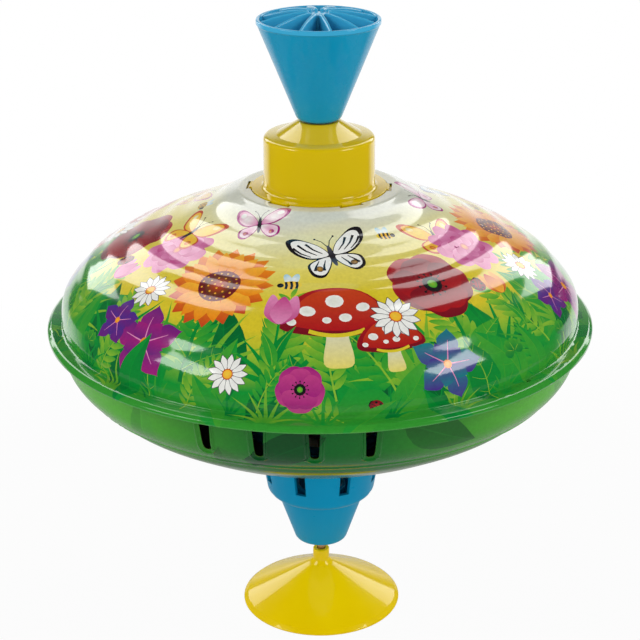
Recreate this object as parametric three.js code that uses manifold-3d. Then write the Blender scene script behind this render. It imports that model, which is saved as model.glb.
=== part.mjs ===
import * as THREE from 'three';
import { mergeVertices } from 'three/addons/utils/BufferGeometryUtils.js';
import Module from 'manifold-3d';

// A pump-handle humming top: a tin body of two crimped shells on a moulded foot,
// with a twisted spindle that is pumped up and down to spin the body.
// Units are millimetres, +Z is up and the origin is the middle of the foot's underside.
// Angles run from the front, which is -Y, towards +X.

const wasm = await Module();
wasm.setup();

// Clearances that the pieces share
const fit = 0.3;
const overrun = 2;

// Facets around the turned pieces
const shellFacets = 48;
const mouldedFacets = 36;
const footFacets = 40;
const smallFacets = 24;
const pinFacets = 12;
const rivetFacets = 6;
const roundSteps = 3;
const domeSteps = 9;
const bowlSteps = 8;

// Foot
const footRadius = 29;
const footRimHeight = 1;
const footHeight = 20.2;
const footWall = 1.8;
const footConeRadius = 4.6;
const footConeHeight = 14.4;
const footNeckRadius = 3;
const footNeckFlare = 1.4;
const footNeckChamfer = 0.3;
const footSocketWall = 1.7;
const footSocketRise = 2.6;
const footSocketRoof = 12.3;

// Axle pin, its clip and the plugs at its two ends
const pinRadius = 1.3;
const pinShow = 5.56;
const pinHeadRadius = 2.7;
const pinHeadHeight = 1.3;
const pinGrooveDepth = 0.3;
const pinTipRise = 5.5;
const clipRadius = 2.9;
const clipThickness = 1;
const footPlugFlange = 4.6;
const footPlugFlangeThickness = 1;

// Lower cup with its tapered nose
const noseBottomRadius = 9.31;
const noseTopRadius = 16;
const noseHeight = 19.23;
const noseRound = 0.8;
const cupBottomRadius = 19.02;
const cupTopRadius = 23.5;
const cupHeight = 25.41;
const cupRound = 3.2;
const cupWall = 1.6;
const cupSlotCount = 8;
const cupSlotWidth = 3.5;
const cupSlotHeight = 12;
const cupSlotRise = 6.5;
const cupSlotAngle = 24.3;
const cupFlangeWidth = 3.6;
const cupFlangeThickness = 1.5;
const columnRise = 2;
const columnShoulder = 1.1;
const columnRoot = 5.2;
const spigotHeight = 4.2;
const plugSeatDepth = 4.3;

// Body shells
const bodyRadius = 90;
const flangeWidth = 5;
const foldReach = 0.7;
const tin = 0.35;
const bowlDepth = 44.8;
const bowlLandWidth = 5;
const domeHeight = 45.7;
const domeLandRadius = 27.5;
const seamDrop = 1.4;
const hemGap = 0.15;
const hemReach = 2.7;
const hemRound = 0.3;
const tuckDepth = 2.4;
const tuckHeight = 1;
const bowlLip = 1;
const louvreGroups = 3;
const louvresPerGroup = 4;
const louvrePitch = 11.2;
const louvreAngle = -6.8;
const louvreWidth = 3.4;
const louvreHeight = 12;
const louvreDrop = 16.3;

// Outline of the dome from its flat land to the widest place:
// shares of the body radius and of the dome height above the seam
const domeShares = [
  [0.317, 0.985],
  [0.444, 0.857],
  [0.578, 0.741],
  [0.689, 0.65],
  [0.778, 0.562],
  [0.856, 0.47],
  [0.93, 0.344],
  [0.984, 0.212],
  [1, 0.094],
];

// Outline of the bowl from its flat land to its lip:
// shares of the body radius and of the bowl depth below the seam
const bowlShares = [
  [0.444, 0.967],
  [0.556, 0.902],
  [0.678, 0.778],
  [0.767, 0.677],
  [0.856, 0.565],
  [0.922, 0.447],
  [0.961, 0.372],
  [0.989, 0.277],
  [1, 0.165],
];

// Collar
const collarFlangeRadius = 23.24;
const collarFlangeLift = 0.4;
const collarRadius = 18.95;
const collarRootRound = 1.4;
const collarShoulderHeight = 18.2;
const collarShoulderRound = 1.7;
const collarValleyRadius = 14.5;
const collarValleyLift = 0.6;
const collarNeckRadius = 7.1;
const collarNeckLift = 5.1;
const collarWall = 1.8;
const collarLipWidth = 3.7;
const collarLipThickness = 1.2;
const collarStepWidth = 1.5;
const collarGuideDepth = 3.4;
const collarKeyCount = 4;
const collarKeyWidth = 1.6;
const collarKeyDepth = 1.3;
const lugCount = 6;
const lugAngle = 26;
const lugWidth = 6.6;
const lugReach = 0.75;
const lugThickness = 0.9;
const lugSideGap = 0.6;

// Spindle guide in the collar neck
const guideFlangeWidth = 2.4;
const guideFlangeThickness = 1.6;
const guideBoreRadius = 3.5;

// Guide tube, clutch seat and driver
const tubeRadius = 8;
const tubeWall = 0.4;
const seatThickness = 2.5;
const seatSpigotHeight = 3;
const seatBoreRadius = 3.6;
const seatHeight = 4.4;
const toothCount = 8;
const toothHeight = 1.2;
const toothInnerRadius = 7;
const toothLength = 4;
const toothGap = 0.4;
const driverRadius = 11.5;
const driverThickness = 3.2;

// Twisted spindle, its stop washer and stop pin
const spindleWidth = 6;
const spindleThickness = 1.6;
const spindleLead = 50;
const spindleStepsPerTurn = 24;
const spindleAngle = -3;
const spindleGrip = 21.5;
const spindleTail = 3;
const spindleClearance = 2;
const stopRadius = 4.5;
const stopThickness = 1.5;
const stopPinRadius = 0.75;
const stopPinLength = 8;

// Knob
const knobBottomRadius = 7.3;
const knobTopRadius = 20.45;
const knobConeHeight = 32.5;
const knobBottomRound = 2.4;
const knobWall = 1.3;
const knobFloor = 2.2;
const knobBeadRadius = 0.3;
const knobBeadHeight = 1.8;
const knobHubRadius = 4.2;
const knobHubTopRadius = 3.4;
const knobHubLift = 2.4;
const knobRibCount = 12;
const knobRibAngle = 12;
const knobRibThickness = 1.1;
const knobRibDip = 0.4;
const knobRibBulge = 0.7;
const knobPinRadius = 1;
const knobPinRise = 13;

// Reed plate with its tongues and rivets
const reedPlateDrop = 3.2;
const reedPlateThickness = 1.2;
const reedPlateLedge = 1.2;
const reedCount = 6;
const reedPlateRim = 3.6;
const reedWidth = 2;
const reedThickness = 0.3;
const reedFootLength = 2.4;
const reedLengthShares = [1, 0.95, 0.89, 0.84, 0.79, 0.75];
const reedRivetRadius = 0.5;
const reedRivetHeadRadius = 1;
const reedRivetHeadHeight = 0.5;

// Heights of the stack, from the foot up
const noseBottom = footHeight + pinShow;
const stepLevel = noseBottom + noseHeight;
const bowlBottom = stepLevel + cupHeight;
const seamLevel = bowlBottom + bowlDepth;
const domeTop = seamLevel + domeHeight;
const collarFlangeTop = domeTop + collarFlangeLift;
const collarShoulder = domeTop + collarShoulderHeight;
const collarTop = collarShoulder + collarNeckLift;
const knobBottom = collarTop + fit;
const knobRim = knobBottom + knobConeHeight;
const knobTop = knobRim + knobBeadHeight + knobHubLift;
const columnTop = stepLevel + columnRise;
const spigotTop = columnTop + spigotHeight;
const plugSeat = spigotTop - plugSeatDepth;
const seatTop = domeTop + seatHeight;
const seatBottom = seatTop - seatThickness;
const toothTop = seatTop + toothHeight;
const driverBottom = toothTop + toothGap + toothHeight;
const spindleBottom = spigotTop + spindleClearance;
const stopPinLevel = spindleBottom + spindleTail;
const stopTop = stopPinLevel + stopPinRadius + fit + stopThickness;
const spindleTop = knobBottom + spindleGrip;

// Materials
const plastic = (color) => new THREE.MeshStandardMaterial({ color, roughness: 0.25, metalness: 0 });
const bluePlastic = plastic(0x0585ad);
const yellowPlastic = plastic(0xe3be05);
const collarPlastic = plastic(0xccb202);
const nylon = new THREE.MeshStandardMaterial({ color: 0xe9e5d8, roughness: 0.55, metalness: 0 });
const steel = new THREE.MeshStandardMaterial({ color: 0xb9bcc0, roughness: 0.3, metalness: 1 });
const brass = new THREE.MeshStandardMaterial({ color: 0xc9a24a, roughness: 0.35, metalness: 1 });
const domeTin = new THREE.MeshStandardMaterial({ color: 0xa9c65a, roughness: 0.2, metalness: 0.1 });
const bowlTin = new THREE.MeshStandardMaterial({ color: 0x2f7d3a, roughness: 0.2, metalness: 0.1 });

// Solids from three.js geometry
function toSolid(geometry) {
  const plain = geometry.index ? geometry.clone() : geometry;
  plain.deleteAttribute('normal');
  plain.deleteAttribute('uv');
  const merged = mergeVertices(plain);
  const kept = [];
  const index = merged.index.array;
  for (let i = 0; i < index.length; i += 3) {
    const [a, b, c] = index.slice(i, i + 3);
    if (a !== b && b !== c && c !== a) kept.push(a, b, c);
  }
  const vertProperties = Float32Array.from(merged.attributes.position.array);
  const triVerts = Uint32Array.from(kept);
  return new wasm.Manifold(new wasm.Mesh({ numProp: 3, vertProperties, triVerts }));
}

function toMesh(name, solid, material) {
  const { numProp, vertProperties, triVerts } = solid.getMesh();
  const geometry = new THREE.BufferGeometry();
  const places = new THREE.InterleavedBuffer(vertProperties, numProp);
  geometry.setAttribute('position', new THREE.InterleavedBufferAttribute(places, 3, 0));
  geometry.setIndex(Array.from(triVerts));
  const mesh = new THREE.Mesh(geometry.toNonIndexed(), material);
  mesh.geometry.computeVertexNormals();
  mesh.name = name;
  return mesh;
}

// A turned solid about Z from a profile of [radius, height] points, listed upwards on the outside
function turned(profile, facets) {
  const points = profile.map(([radius, height]) => new THREE.Vector2(radius, height));
  if (profile[0][0] > 0) points.push(points[0].clone());
  const geometry = new THREE.LatheGeometry(points, facets);
  geometry.rotateX(Math.PI / 2);
  return toSolid(geometry);
}

function block(sizeX, sizeY, sizeZ, x, y, z) {
  const geometry = new THREE.BoxGeometry(sizeX, sizeY, sizeZ);
  geometry.translate(x, y, z);
  return toSolid(geometry);
}

// A flat plate from an outline in [radius, height] points, standing in the front radial plane
function radialPlate(outline, thickness) {
  const shape = new THREE.Shape(outline.map(([radius, height]) => new THREE.Vector2(radius, height)));
  const geometry = new THREE.ExtrudeGeometry(shape, { depth: thickness, bevelEnabled: false });
  geometry.translate(0, 0, -thickness / 2);
  geometry.rotateX(Math.PI / 2);
  geometry.rotateZ(-Math.PI / 2);
  return toSolid(geometry);
}

function rod(radius, length, facets) {
  return toSolid(new THREE.CylinderGeometry(radius, radius, length, facets));
}

// Copies of a solid turned to equal steps about Z, joined into one tool
function ring(solid, count, firstAngle) {
  const copies = [];
  for (let i = 0; i < count; i += 1) copies.push(solid.rotate([0, 0, firstAngle + (i * 360) / count]));
  return wasm.Manifold.union(copies);
}

// Points of a round from one [radius, height] place to another about their shared corner
function rounded(from, corner, to, steps = roundSteps) {
  const curve = new THREE.QuadraticBezierCurve(
    new THREE.Vector2(...from),
    new THREE.Vector2(...corner),
    new THREE.Vector2(...to),
  );
  return curve.getPoints(steps).map((point) => [point.x, point.y]);
}

function smooth(points, steps) {
  const curve = new THREE.SplineCurve(points.map((point) => new THREE.Vector2(...point)));
  return curve.getPoints(steps).map((point) => [point.x, point.y]);
}

// Closed profile of a sheet: its outer line and the same line moved in by the thickness
function sheet(outer, thickness) {
  const inner = outer.map((point, i) => {
    const before = new THREE.Vector2(...outer[Math.max(i - 1, 0)]);
    const here = new THREE.Vector2(...point);
    const after = new THREE.Vector2(...outer[Math.min(i + 1, outer.length - 1)]);
    const first = i > 0 ? here.clone().sub(before).normalize() : after.clone().sub(here).normalize();
    const second = i < outer.length - 1 ? after.clone().sub(here).normalize() : first.clone();
    const normal = new THREE.Vector2(-first.y - second.y, first.x + second.x).normalize();
    const spread = Math.sqrt((1 + first.dot(second)) / 2);
    return [point[0] + (normal.x * thickness) / spread, point[1] + (normal.y * thickness) / spread];
  });
  return [...outer, ...inner.reverse()];
}

// The twisted strip between two levels, wider and thicker by the clearance on every side
function twistedStrip(bottom, top, clearance) {
  const width = spindleWidth + clearance * 2;
  const thickness = spindleThickness + clearance * 2;
  const length = top - bottom;
  const steps = Math.max(1, Math.ceil((length * spindleStepsPerTurn) / spindleLead));
  const geometry = new THREE.BoxGeometry(width, thickness, length, 1, 1, steps);
  const place = geometry.attributes.position;
  for (let i = 0; i < place.count; i += 1) {
    const level = place.getZ(i) + (bottom + top) / 2;
    const turns = Math.min(0, level - collarTop) / spindleLead;
    const angle = THREE.MathUtils.degToRad(spindleAngle) - turns * Math.PI * 2;
    const [x, y] = [place.getX(i), place.getY(i)];
    place.setXYZ(i, x * Math.cos(angle) - y * Math.sin(angle), x * Math.sin(angle) + y * Math.cos(angle), level);
  }
  return toSolid(geometry);
}

// Foot: a shallow cone with a neck round the pin and a socket below
const footBore = pinRadius + fit;
const socketRadius = clipRadius + fit + pinGrooveDepth;
const socketOuter = socketRadius + footSocketWall;
const coneSlope = (footConeHeight - footRimHeight) / (footRadius - footConeRadius);
const coneDrop = footWall * Math.hypot(1, coneSlope);
const underCone = (radius) => footConeHeight + (footConeRadius - radius) * coneSlope - coneDrop;
const rimInner = footConeRadius + (footConeHeight - coneDrop) / coneSlope;

function makeFoot() {
  const flareTop = footConeHeight + footNeckFlare;
  return turned([
    [rimInner, 0],
    [footRadius, 0],
    [footRadius, footRimHeight],
    [footConeRadius, footConeHeight],
    ...rounded(
      [footNeckRadius + footNeckFlare / 2, footConeHeight + footNeckFlare / 3],
      [footNeckRadius, flareTop],
      [footNeckRadius, flareTop + footNeckFlare / 2],
    ),
    [footNeckRadius, footHeight - footNeckChamfer],
    [footNeckRadius - footNeckChamfer, footHeight],
    [footBore, footHeight],
    [footBore, footSocketRoof],
    [socketRadius, footSocketRoof],
    [socketRadius, footSocketRise],
    [socketOuter, footSocketRise],
    [socketOuter, underCone(socketOuter)],
  ], footFacets);
}

function makeFootPlug() {
  const flangeTop = footSocketRise - fit;
  return turned([
    [0, flangeTop - footPlugFlangeThickness],
    [footPlugFlange, flangeTop - footPlugFlangeThickness],
    [footPlugFlange, flangeTop],
    [socketRadius - fit, flangeTop],
    [socketRadius - fit, pinTipRise - fit],
    [0, pinTipRise - fit],
  ], smallFacets);
}

// Axle pin: a headed steel pin with a rounded tip and a groove for its clip
const clipTop = footSocketRoof - fit;
const headTop = plugSeat + fit + pinHeadHeight;

function makeAxlePin() {
  const grooveRadius = pinRadius - pinGrooveDepth;
  return turned([
    [0, pinTipRise],
    ...rounded([pinRadius / 2, pinTipRise], [pinRadius, pinTipRise], [pinRadius, pinTipRise + pinRadius], 2),
    [pinRadius, clipTop - clipThickness],
    [grooveRadius, clipTop - clipThickness],
    [grooveRadius, clipTop],
    [pinRadius, clipTop],
    [pinRadius, plugSeat + fit],
    [pinHeadRadius, plugSeat + fit],
    [pinHeadRadius, headTop],
    [0, headTop],
  ], pinFacets);
}

function makePinClip() {
  const level = clipTop - clipThickness / 2;
  const half = (clipThickness - fit) / 2;
  return turned([
    [pinRadius, level - half],
    [clipRadius, level - half],
    [clipRadius, level + half],
    [pinRadius, level + half],
  ], pinFacets);
}

function makePinPlug() {
  return turned([
    [0, headTop + fit],
    [pinHeadRadius, headTop + fit],
    [pinHeadRadius, spigotTop],
    [0, spigotTop],
  ], pinFacets);
}

// Lower cup: nose, slotted cup and the flange that holds it in the bowl, in one moulding
const cupTaper = (cupTopRadius - cupBottomRadius) / cupHeight;
const cupAt = (level) => cupBottomRadius + (level - stepLevel) * cupTaper;
const bowlLand = cupTopRadius + fit;
const cupFlangeBottom = bowlBottom + tin + fit;
const cupTop = cupFlangeBottom + cupFlangeThickness;
const reedLedge = bowlBottom - reedPlateDrop;
const columnRadius = tubeRadius + columnShoulder;
const tubeBore = tubeRadius - tubeWall;

function makeLowerCup() {
  const noseTaper = (noseTopRadius - noseBottomRadius) / noseHeight;
  const rootLevel = noseBottom + columnRoot;
  const rootRadius = noseBottomRadius + columnRoot * noseTaper - cupWall;
  const ledgeRadius = cupAt(reedLedge) - cupWall - reedPlateLedge;
  const cup = turned([
    [pinRadius + fit, noseBottom],
    ...rounded(
      [noseBottomRadius - noseRound, noseBottom],
      [noseBottomRadius, noseBottom],
      [noseBottomRadius + noseRound * noseTaper, noseBottom + noseRound],
      2,
    ),
    [noseTopRadius, stepLevel],
    ...rounded(
      [cupBottomRadius - cupRound, stepLevel],
      [cupBottomRadius, stepLevel],
      [cupAt(stepLevel + cupRound), stepLevel + cupRound],
    ),
    [cupTopRadius, bowlBottom],
    [cupTopRadius, cupFlangeBottom],
    [cupTopRadius + cupFlangeWidth, cupFlangeBottom],
    [cupTopRadius + cupFlangeWidth, cupTop],
    [cupTopRadius - cupWall, cupTop],
    [cupAt(reedLedge) - cupWall, reedLedge],
    [ledgeRadius, reedLedge],
    [cupAt(stepLevel + cupRound) - cupWall, stepLevel + cupRound],
    [cupBottomRadius - cupRound, stepLevel + cupWall],
    [noseTopRadius - cupWall, stepLevel + cupWall],
    [Math.max(rootRadius, columnRadius + fit), rootLevel],
    [columnRadius, rootLevel],
    [columnRadius, columnTop],
    [tubeBore - fit, columnTop],
    [tubeBore - fit, spigotTop],
    [pinHeadRadius + fit, spigotTop],
    [pinHeadRadius + fit, plugSeat],
    [pinRadius + fit, plugSeat],
  ], mouldedFacets);
  const slotBottom = stepLevel + cupSlotRise;
  const slotReach = cupTopRadius + overrun - columnRadius - overrun;
  const slot = block(
    cupSlotWidth,
    slotReach,
    cupSlotHeight,
    0,
    -(cupTopRadius + overrun) + slotReach / 2,
    slotBottom + cupSlotHeight / 2,
  );
  return cup.subtract(ring(slot, cupSlotCount, cupSlotAngle));
}

// Body shells: the seam's flange falls outwards from a fold line
const flangeRadius = bodyRadius + flangeWidth;
const foldRadius = bodyRadius + foldReach;
const seamWidth = flangeWidth - foldReach;
const seamAt = (radius) => seamLevel - ((radius - foldRadius) * seamDrop) / seamWidth;
const hemThickness = tin * 3 + hemGap * 2;

function makeLowerShell() {
  const flangeLine = (radius) => seamAt(radius) - tin * 2 - hemGap;
  const flangeEnd = flangeRadius - tin - hemGap * 2;
  const lipRadius = bodyRadius + bowlLip;
  const wall = smooth([
    [bowlLand + bowlLandWidth, bowlBottom],
    ...bowlShares.map(([across, down]) => [bodyRadius * across, seamLevel - bowlDepth * down]),
  ], bowlSteps + 1);
  const shell = turned(sheet([
    [bowlLand, bowlBottom],
    ...wall,
    [lipRadius, flangeLine(lipRadius) - bowlLip],
    [lipRadius + bowlLip / 2, flangeLine(lipRadius + bowlLip / 2)],
    [flangeEnd, flangeLine(flangeEnd)],
  ], tin), shellFacets);
  const half = louvreWidth / 2;
  const outline = new THREE.Shape();
  outline.moveTo(half, louvreHeight);
  outline.lineTo(-half, louvreHeight);
  outline.lineTo(-half, half);
  outline.quadraticCurveTo(-half, 0, 0, 0);
  outline.quadraticCurveTo(half, 0, half, half);
  const cutter = new THREE.ExtrudeGeometry(outline, {
    depth: bodyRadius / 2,
    bevelEnabled: false,
    curveSegments: roundSteps,
  });
  cutter.rotateX(Math.PI / 2);
  cutter.translate(0, -bodyRadius / 2, seamLevel - louvreDrop);
  const slot = toSolid(cutter);
  const slots = [];
  for (let group = 0; group < louvreGroups; group += 1) {
    for (let i = 0; i < louvresPerGroup; i += 1) {
      const inGroup = (i - (louvresPerGroup - 1) / 2) * louvrePitch;
      slots.push(slot.rotate([0, 0, louvreAngle + (group * 360) / louvreGroups + inGroup]));
    }
  }
  return shell.subtract(wasm.Manifold.union(slots));
}

const shellHoleRadius = collarFlangeRadius + fit;

function makeUpperShell() {
  const dome = smooth([
    ...domeShares.map(([across, up]) => [bodyRadius * across, seamLevel + domeHeight * up]),
  ], domeSteps);
  const line = [
    [shellHoleRadius, domeTop],
    [domeLandRadius, domeTop],
    ...dome,
    [bodyRadius - tuckDepth / 3, seamLevel + tuckHeight * 2],
    [bodyRadius - tuckDepth, seamLevel + tuckHeight],
    [bodyRadius - tuckDepth / 2, seamLevel + tin],
    [foldRadius, seamLevel],
    [flangeRadius - hemRound, seamAt(flangeRadius)],
    [flangeRadius, seamAt(flangeRadius) - hemRound],
    [flangeRadius, seamAt(flangeRadius) - hemThickness + hemRound],
    [flangeRadius - hemRound, seamAt(flangeRadius) - hemThickness],
    [flangeRadius - hemReach, seamAt(flangeRadius - hemReach) - hemThickness],
  ];
  const shell = turned(sheet(line.reverse(), tin), shellFacets);
  const notchReach = lugReach + fit + overrun;
  const notch = block(
    lugWidth + lugSideGap * 2,
    notchReach,
    overrun * 2,
    0,
    -(collarFlangeRadius + lugReach + fit) + notchReach / 2,
    domeTop,
  );
  return shell.subtract(ring(notch, lugCount, lugAngle));
}

// Collar: a hollow yellow cap whose lip lies under the dome and whose lugs lie in its notches
const lipTop = domeTop - tin - fit;
const collarBottom = lipTop - collarLipThickness;
const collarBore = collarRadius - collarWall;
const stepTop = seatTop + fit;
const roofLevel = collarTop - collarGuideDepth;

function makeCollar() {
  const guideBore = collarNeckRadius - collarWall + fit;
  const lug = block(
    lugWidth,
    lugReach + collarWall,
    lugThickness,
    0,
    -(collarFlangeRadius + lugReach) + (lugReach + collarWall) / 2,
    collarFlangeTop - lugThickness / 2,
  );
  const keyReach = collarKeyDepth + collarWall / 2;
  const keyHeight = stepTop - collarBottom + fit;
  const key = block(
    collarKeyWidth,
    keyReach,
    keyHeight,
    0,
    -(collarBore - collarKeyDepth) - keyReach / 2,
    collarBottom + keyHeight / 2,
  );
  return turned([
    [collarBore, collarBottom],
    [collarFlangeRadius + collarLipWidth, collarBottom],
    [collarFlangeRadius + collarLipWidth, lipTop],
    [collarFlangeRadius, lipTop],
    [collarFlangeRadius, collarFlangeTop],
    ...rounded(
      [collarRadius + collarRootRound, collarFlangeTop],
      [collarRadius, collarFlangeTop],
      [collarRadius, collarFlangeTop + collarRootRound],
    ),
    ...rounded(
      [collarRadius, collarShoulder - collarShoulderRound],
      [collarRadius, collarShoulder],
      [collarRadius - collarShoulderRound, collarShoulder],
    ),
    [collarValleyRadius, collarShoulder + collarValleyLift],
    [collarNeckRadius, collarTop],
    [guideBore, collarTop],
    [guideBore, roofLevel],
    [guideBore + guideFlangeWidth + fit, roofLevel],
    [collarValleyRadius - collarWall / 2, collarShoulder + collarValleyLift - collarWall],
    [collarBore - collarStepWidth, collarShoulder - collarWall],
    [collarBore - collarStepWidth, stepTop],
    [collarBore, stepTop],
  ], mouldedFacets).add(ring(lug, lugCount, lugAngle)).add(ring(key, collarKeyCount, 0));
}

function makeSpindleGuide() {
  const barrel = collarNeckRadius - collarWall;
  const flangeTop = roofLevel - fit;
  return turned([
    [guideBoreRadius, flangeTop - guideFlangeThickness],
    [barrel + guideFlangeWidth, flangeTop - guideFlangeThickness],
    [barrel + guideFlangeWidth, flangeTop],
    [barrel, flangeTop],
    [barrel, collarTop - fit],
    [guideBoreRadius, collarTop - fit],
  ], smallFacets);
}

function makeGuideTube() {
  return turned([
    [tubeBore, columnTop + fit],
    [tubeRadius, columnTop + fit],
    [tubeRadius, seatBottom - fit],
    [tubeBore, seatBottom - fit],
  ], smallFacets);
}

// Saw teeth on a ring, rising in the sense that the body is driven
function teeth(base, direction) {
  const pitch = (Math.PI * 2 * toothInnerRadius) / toothCount;
  const outline = new THREE.Shape([
    new THREE.Vector2(-pitch / 2, -toothHeight / 2),
    new THREE.Vector2(pitch / 2, -toothHeight / 2),
    new THREE.Vector2(pitch / 2, 0),
    new THREE.Vector2(pitch / 2 - toothHeight / 4, toothHeight),
    new THREE.Vector2(-pitch / 2, 0),
  ]);
  const geometry = new THREE.ExtrudeGeometry(outline, { depth: toothLength, bevelEnabled: false });
  geometry.rotateX(Math.PI / 2);
  geometry.translate(0, -toothInnerRadius, 0);
  const tooth = toSolid(geometry).rotate([0, direction < 0 ? 180 : 0, 0]);
  return ring(tooth.translate([0, 0, base]), toothCount, 0);
}

function makeClutchSeat() {
  const seatRadius = collarBore - fit;
  const keyway = block(
    collarKeyWidth + fit * 2,
    collarKeyDepth + overrun,
    seatThickness * 2,
    0,
    -(seatRadius - collarKeyDepth) - (collarKeyDepth + overrun) / 2,
    seatBottom + seatThickness / 2,
  );
  return turned([
    [seatBoreRadius, seatBottom - seatSpigotHeight],
    [tubeBore - fit, seatBottom - seatSpigotHeight],
    [tubeBore - fit, seatBottom],
    [seatRadius, seatBottom],
    [seatRadius, seatTop],
    [seatBoreRadius, seatTop],
  ], smallFacets).add(teeth(seatTop, 1)).subtract(ring(keyway, collarKeyCount, 0));
}

function makeDriver() {
  const body = turned([
    [0, driverBottom],
    [driverRadius, driverBottom],
    [driverRadius, driverBottom + driverThickness],
    [0, driverBottom + driverThickness],
  ], smallFacets);
  const slot = twistedStrip(driverBottom - overrun, driverBottom + driverThickness + overrun, fit);
  return body.add(teeth(driverBottom, -1)).subtract(slot);
}

// Spindle: a strip that is straight in the knob and twisted below it
const knobPinLevel = knobBottom + knobPinRise;

function crossHole(radius, length, level) {
  return rod(radius, length, pinFacets).rotate([0, 0, spindleAngle]).translate([0, 0, level]);
}

function stopPinAngle() {
  return spindleAngle + ((collarTop - stopPinLevel) / spindleLead) * 360;
}

function makeSpindle() {
  const straight = block(
    spindleWidth,
    spindleThickness,
    spindleTop - collarTop,
    0,
    0,
    (spindleTop + collarTop) / 2,
  ).rotate([0, 0, spindleAngle]);
  const stopHole = rod(stopPinRadius + fit, spindleWidth, pinFacets)
    .rotate([0, 0, stopPinAngle()])
    .translate([0, 0, stopPinLevel]);
  return twistedStrip(spindleBottom, collarTop, 0)
    .add(straight)
    .subtract(crossHole(knobPinRadius + fit, spindleWidth, knobPinLevel))
    .subtract(stopHole);
}

function makeSpindleStop() {
  const washer = turned([
    [0, stopTop - stopThickness],
    [stopRadius, stopTop - stopThickness],
    [stopRadius, stopTop],
    [0, stopTop],
  ], smallFacets);
  return washer.subtract(twistedStrip(stopTop - stopThickness - overrun, stopTop + overrun, fit));
}

function makeStopPin() {
  return rod(stopPinRadius, stopPinLength, pinFacets)
    .rotate([0, 0, stopPinAngle()])
    .translate([0, 0, stopPinLevel]);
}

// Knob: a thin cone with radial ribs from a central hub
const knobTaper = (knobTopRadius - knobBottomRadius) / knobConeHeight;
const knobAt = (level) => knobBottomRadius + (level - knobBottom) * knobTaper;

function makeKnob() {
  const hubRootLevel = knobBottom + knobFloor;
  const rimTop = knobRim + knobBeadHeight;
  const inner = (level) => knobAt(level) - knobWall;
  const shell = turned([
    [0, knobBottom],
    ...rounded(
      [knobBottomRadius - knobBottomRound, knobBottom],
      [knobBottomRadius, knobBottom],
      [knobAt(knobBottom + knobBottomRound), knobBottom + knobBottomRound],
    ),
    [knobAt(knobRim), knobRim],
    [knobAt(knobRim) + knobBeadRadius, knobRim + knobBeadHeight / 4],
    [knobAt(knobRim) + knobBeadRadius, rimTop - knobBeadHeight / 4],
    [knobAt(knobRim), rimTop],
    [inner(knobRim), rimTop],
    [inner(hubRootLevel), hubRootLevel],
    [knobHubRadius, hubRootLevel],
    [knobHubRadius, rimTop],
    [knobHubTopRadius, knobTop - knobRibDip],
    [knobHubTopRadius - knobRibDip, knobTop],
    [0, knobTop],
  ], mouldedFacets);
  const ribEnd = inner(knobRim) + knobWall / 2;
  const ribCrest = [ribEnd / 2, (rimTop + knobTop) / 2 - knobRibDip + knobRibBulge];
  const rib = radialPlate([
    [knobHubTopRadius / 2, hubRootLevel - knobWall / 2],
    [inner(hubRootLevel) + knobWall / 2, hubRootLevel - knobWall / 2],
    [ribEnd, rimTop - knobRibDip],
    ribCrest,
    [knobHubTopRadius / 2, knobTop - knobRibDip],
  ], knobRibThickness);
  const socketTop = spindleTop + fit;
  const socket = block(
    spindleWidth + fit * 2,
    spindleThickness + fit * 2,
    socketTop - knobBottom + overrun,
    0,
    0,
    (socketTop + knobBottom - overrun) / 2,
  ).rotate([0, 0, spindleAngle]);
  return shell
    .add(ring(rib, knobRibCount, knobRibAngle))
    .subtract(socket)
    .subtract(crossHole(knobPinRadius + fit, (knobHubRadius + overrun) * 2, knobPinLevel));
}

function makeKnobPin() {
  return crossHole(knobPinRadius, (knobHubRadius - fit) * 2, knobPinLevel);
}

// Reed plate: it closes the cup, so that the air is drawn past the brass tongues
const reedPlateBottom = reedLedge + fit;
const reedPlateTop = reedPlateBottom + reedPlateThickness;
const reedRivetPlace = tubeRadius + fit + reedFootLength;
const reedStart = reedRivetPlace - reedFootLength / 2;
const plateOuterRadius = cupAt(reedLedge) - cupWall - fit;
const reedLength = plateOuterRadius - reedPlateRim - reedStart - fit;
const reedLevel = reedPlateTop + fit;
const reedAngle = (i) => (i * 360) / reedCount;

function makeReedPlate() {
  let plate = turned([
    [tubeRadius + fit, reedPlateBottom],
    [plateOuterRadius, reedPlateBottom],
    [plateOuterRadius, reedPlateTop],
    [tubeRadius + fit, reedPlateTop],
  ], smallFacets);
  const hole = rod(reedRivetRadius + fit, reedPlateThickness + overrun * 2, rivetFacets)
    .rotate([90, 0, 0])
    .translate([0, -reedRivetPlace, reedPlateBottom]);
  reedLengthShares.forEach((share, i) => {
    const slotLength = reedLength * share - reedFootLength + fit;
    const slot = block(
      reedWidth + fit * 2,
      slotLength,
      reedPlateThickness + overrun * 2,
      0,
      -(reedStart + reedFootLength) - slotLength / 2,
      reedPlateBottom,
    );
    plate = plate.subtract(slot.add(hole).rotate([0, 0, reedAngle(i)]));
  });
  return plate;
}

function makeReed(i) {
  const length = reedLength * reedLengthShares[i];
  const hole = rod(reedRivetRadius + fit, overrun, rivetFacets)
    .rotate([90, 0, 0])
    .translate([0, -reedRivetPlace, reedLevel]);
  return block(reedWidth, length, reedThickness, 0, -reedStart - length / 2, reedLevel + reedThickness / 2)
    .subtract(hole)
    .rotate([0, 0, reedAngle(i)]);
}

function makeReedRivet(i) {
  const lowEnd = reedPlateBottom;
  const highHead = reedLevel + reedThickness + fit;
  return turned([
    [0, lowEnd],
    [reedRivetRadius, lowEnd],
    [reedRivetRadius, highHead],
    [reedRivetHeadRadius, highHead],
    [reedRivetHeadRadius, highHead + reedRivetHeadHeight],
    [0, highHead + reedRivetHeadHeight],
  ], rivetFacets).translate([0, -reedRivetPlace, 0]).rotate([0, 0, reedAngle(i)]);
}

// The assembly, in the groups that move together
const group = new THREE.Group();

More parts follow.
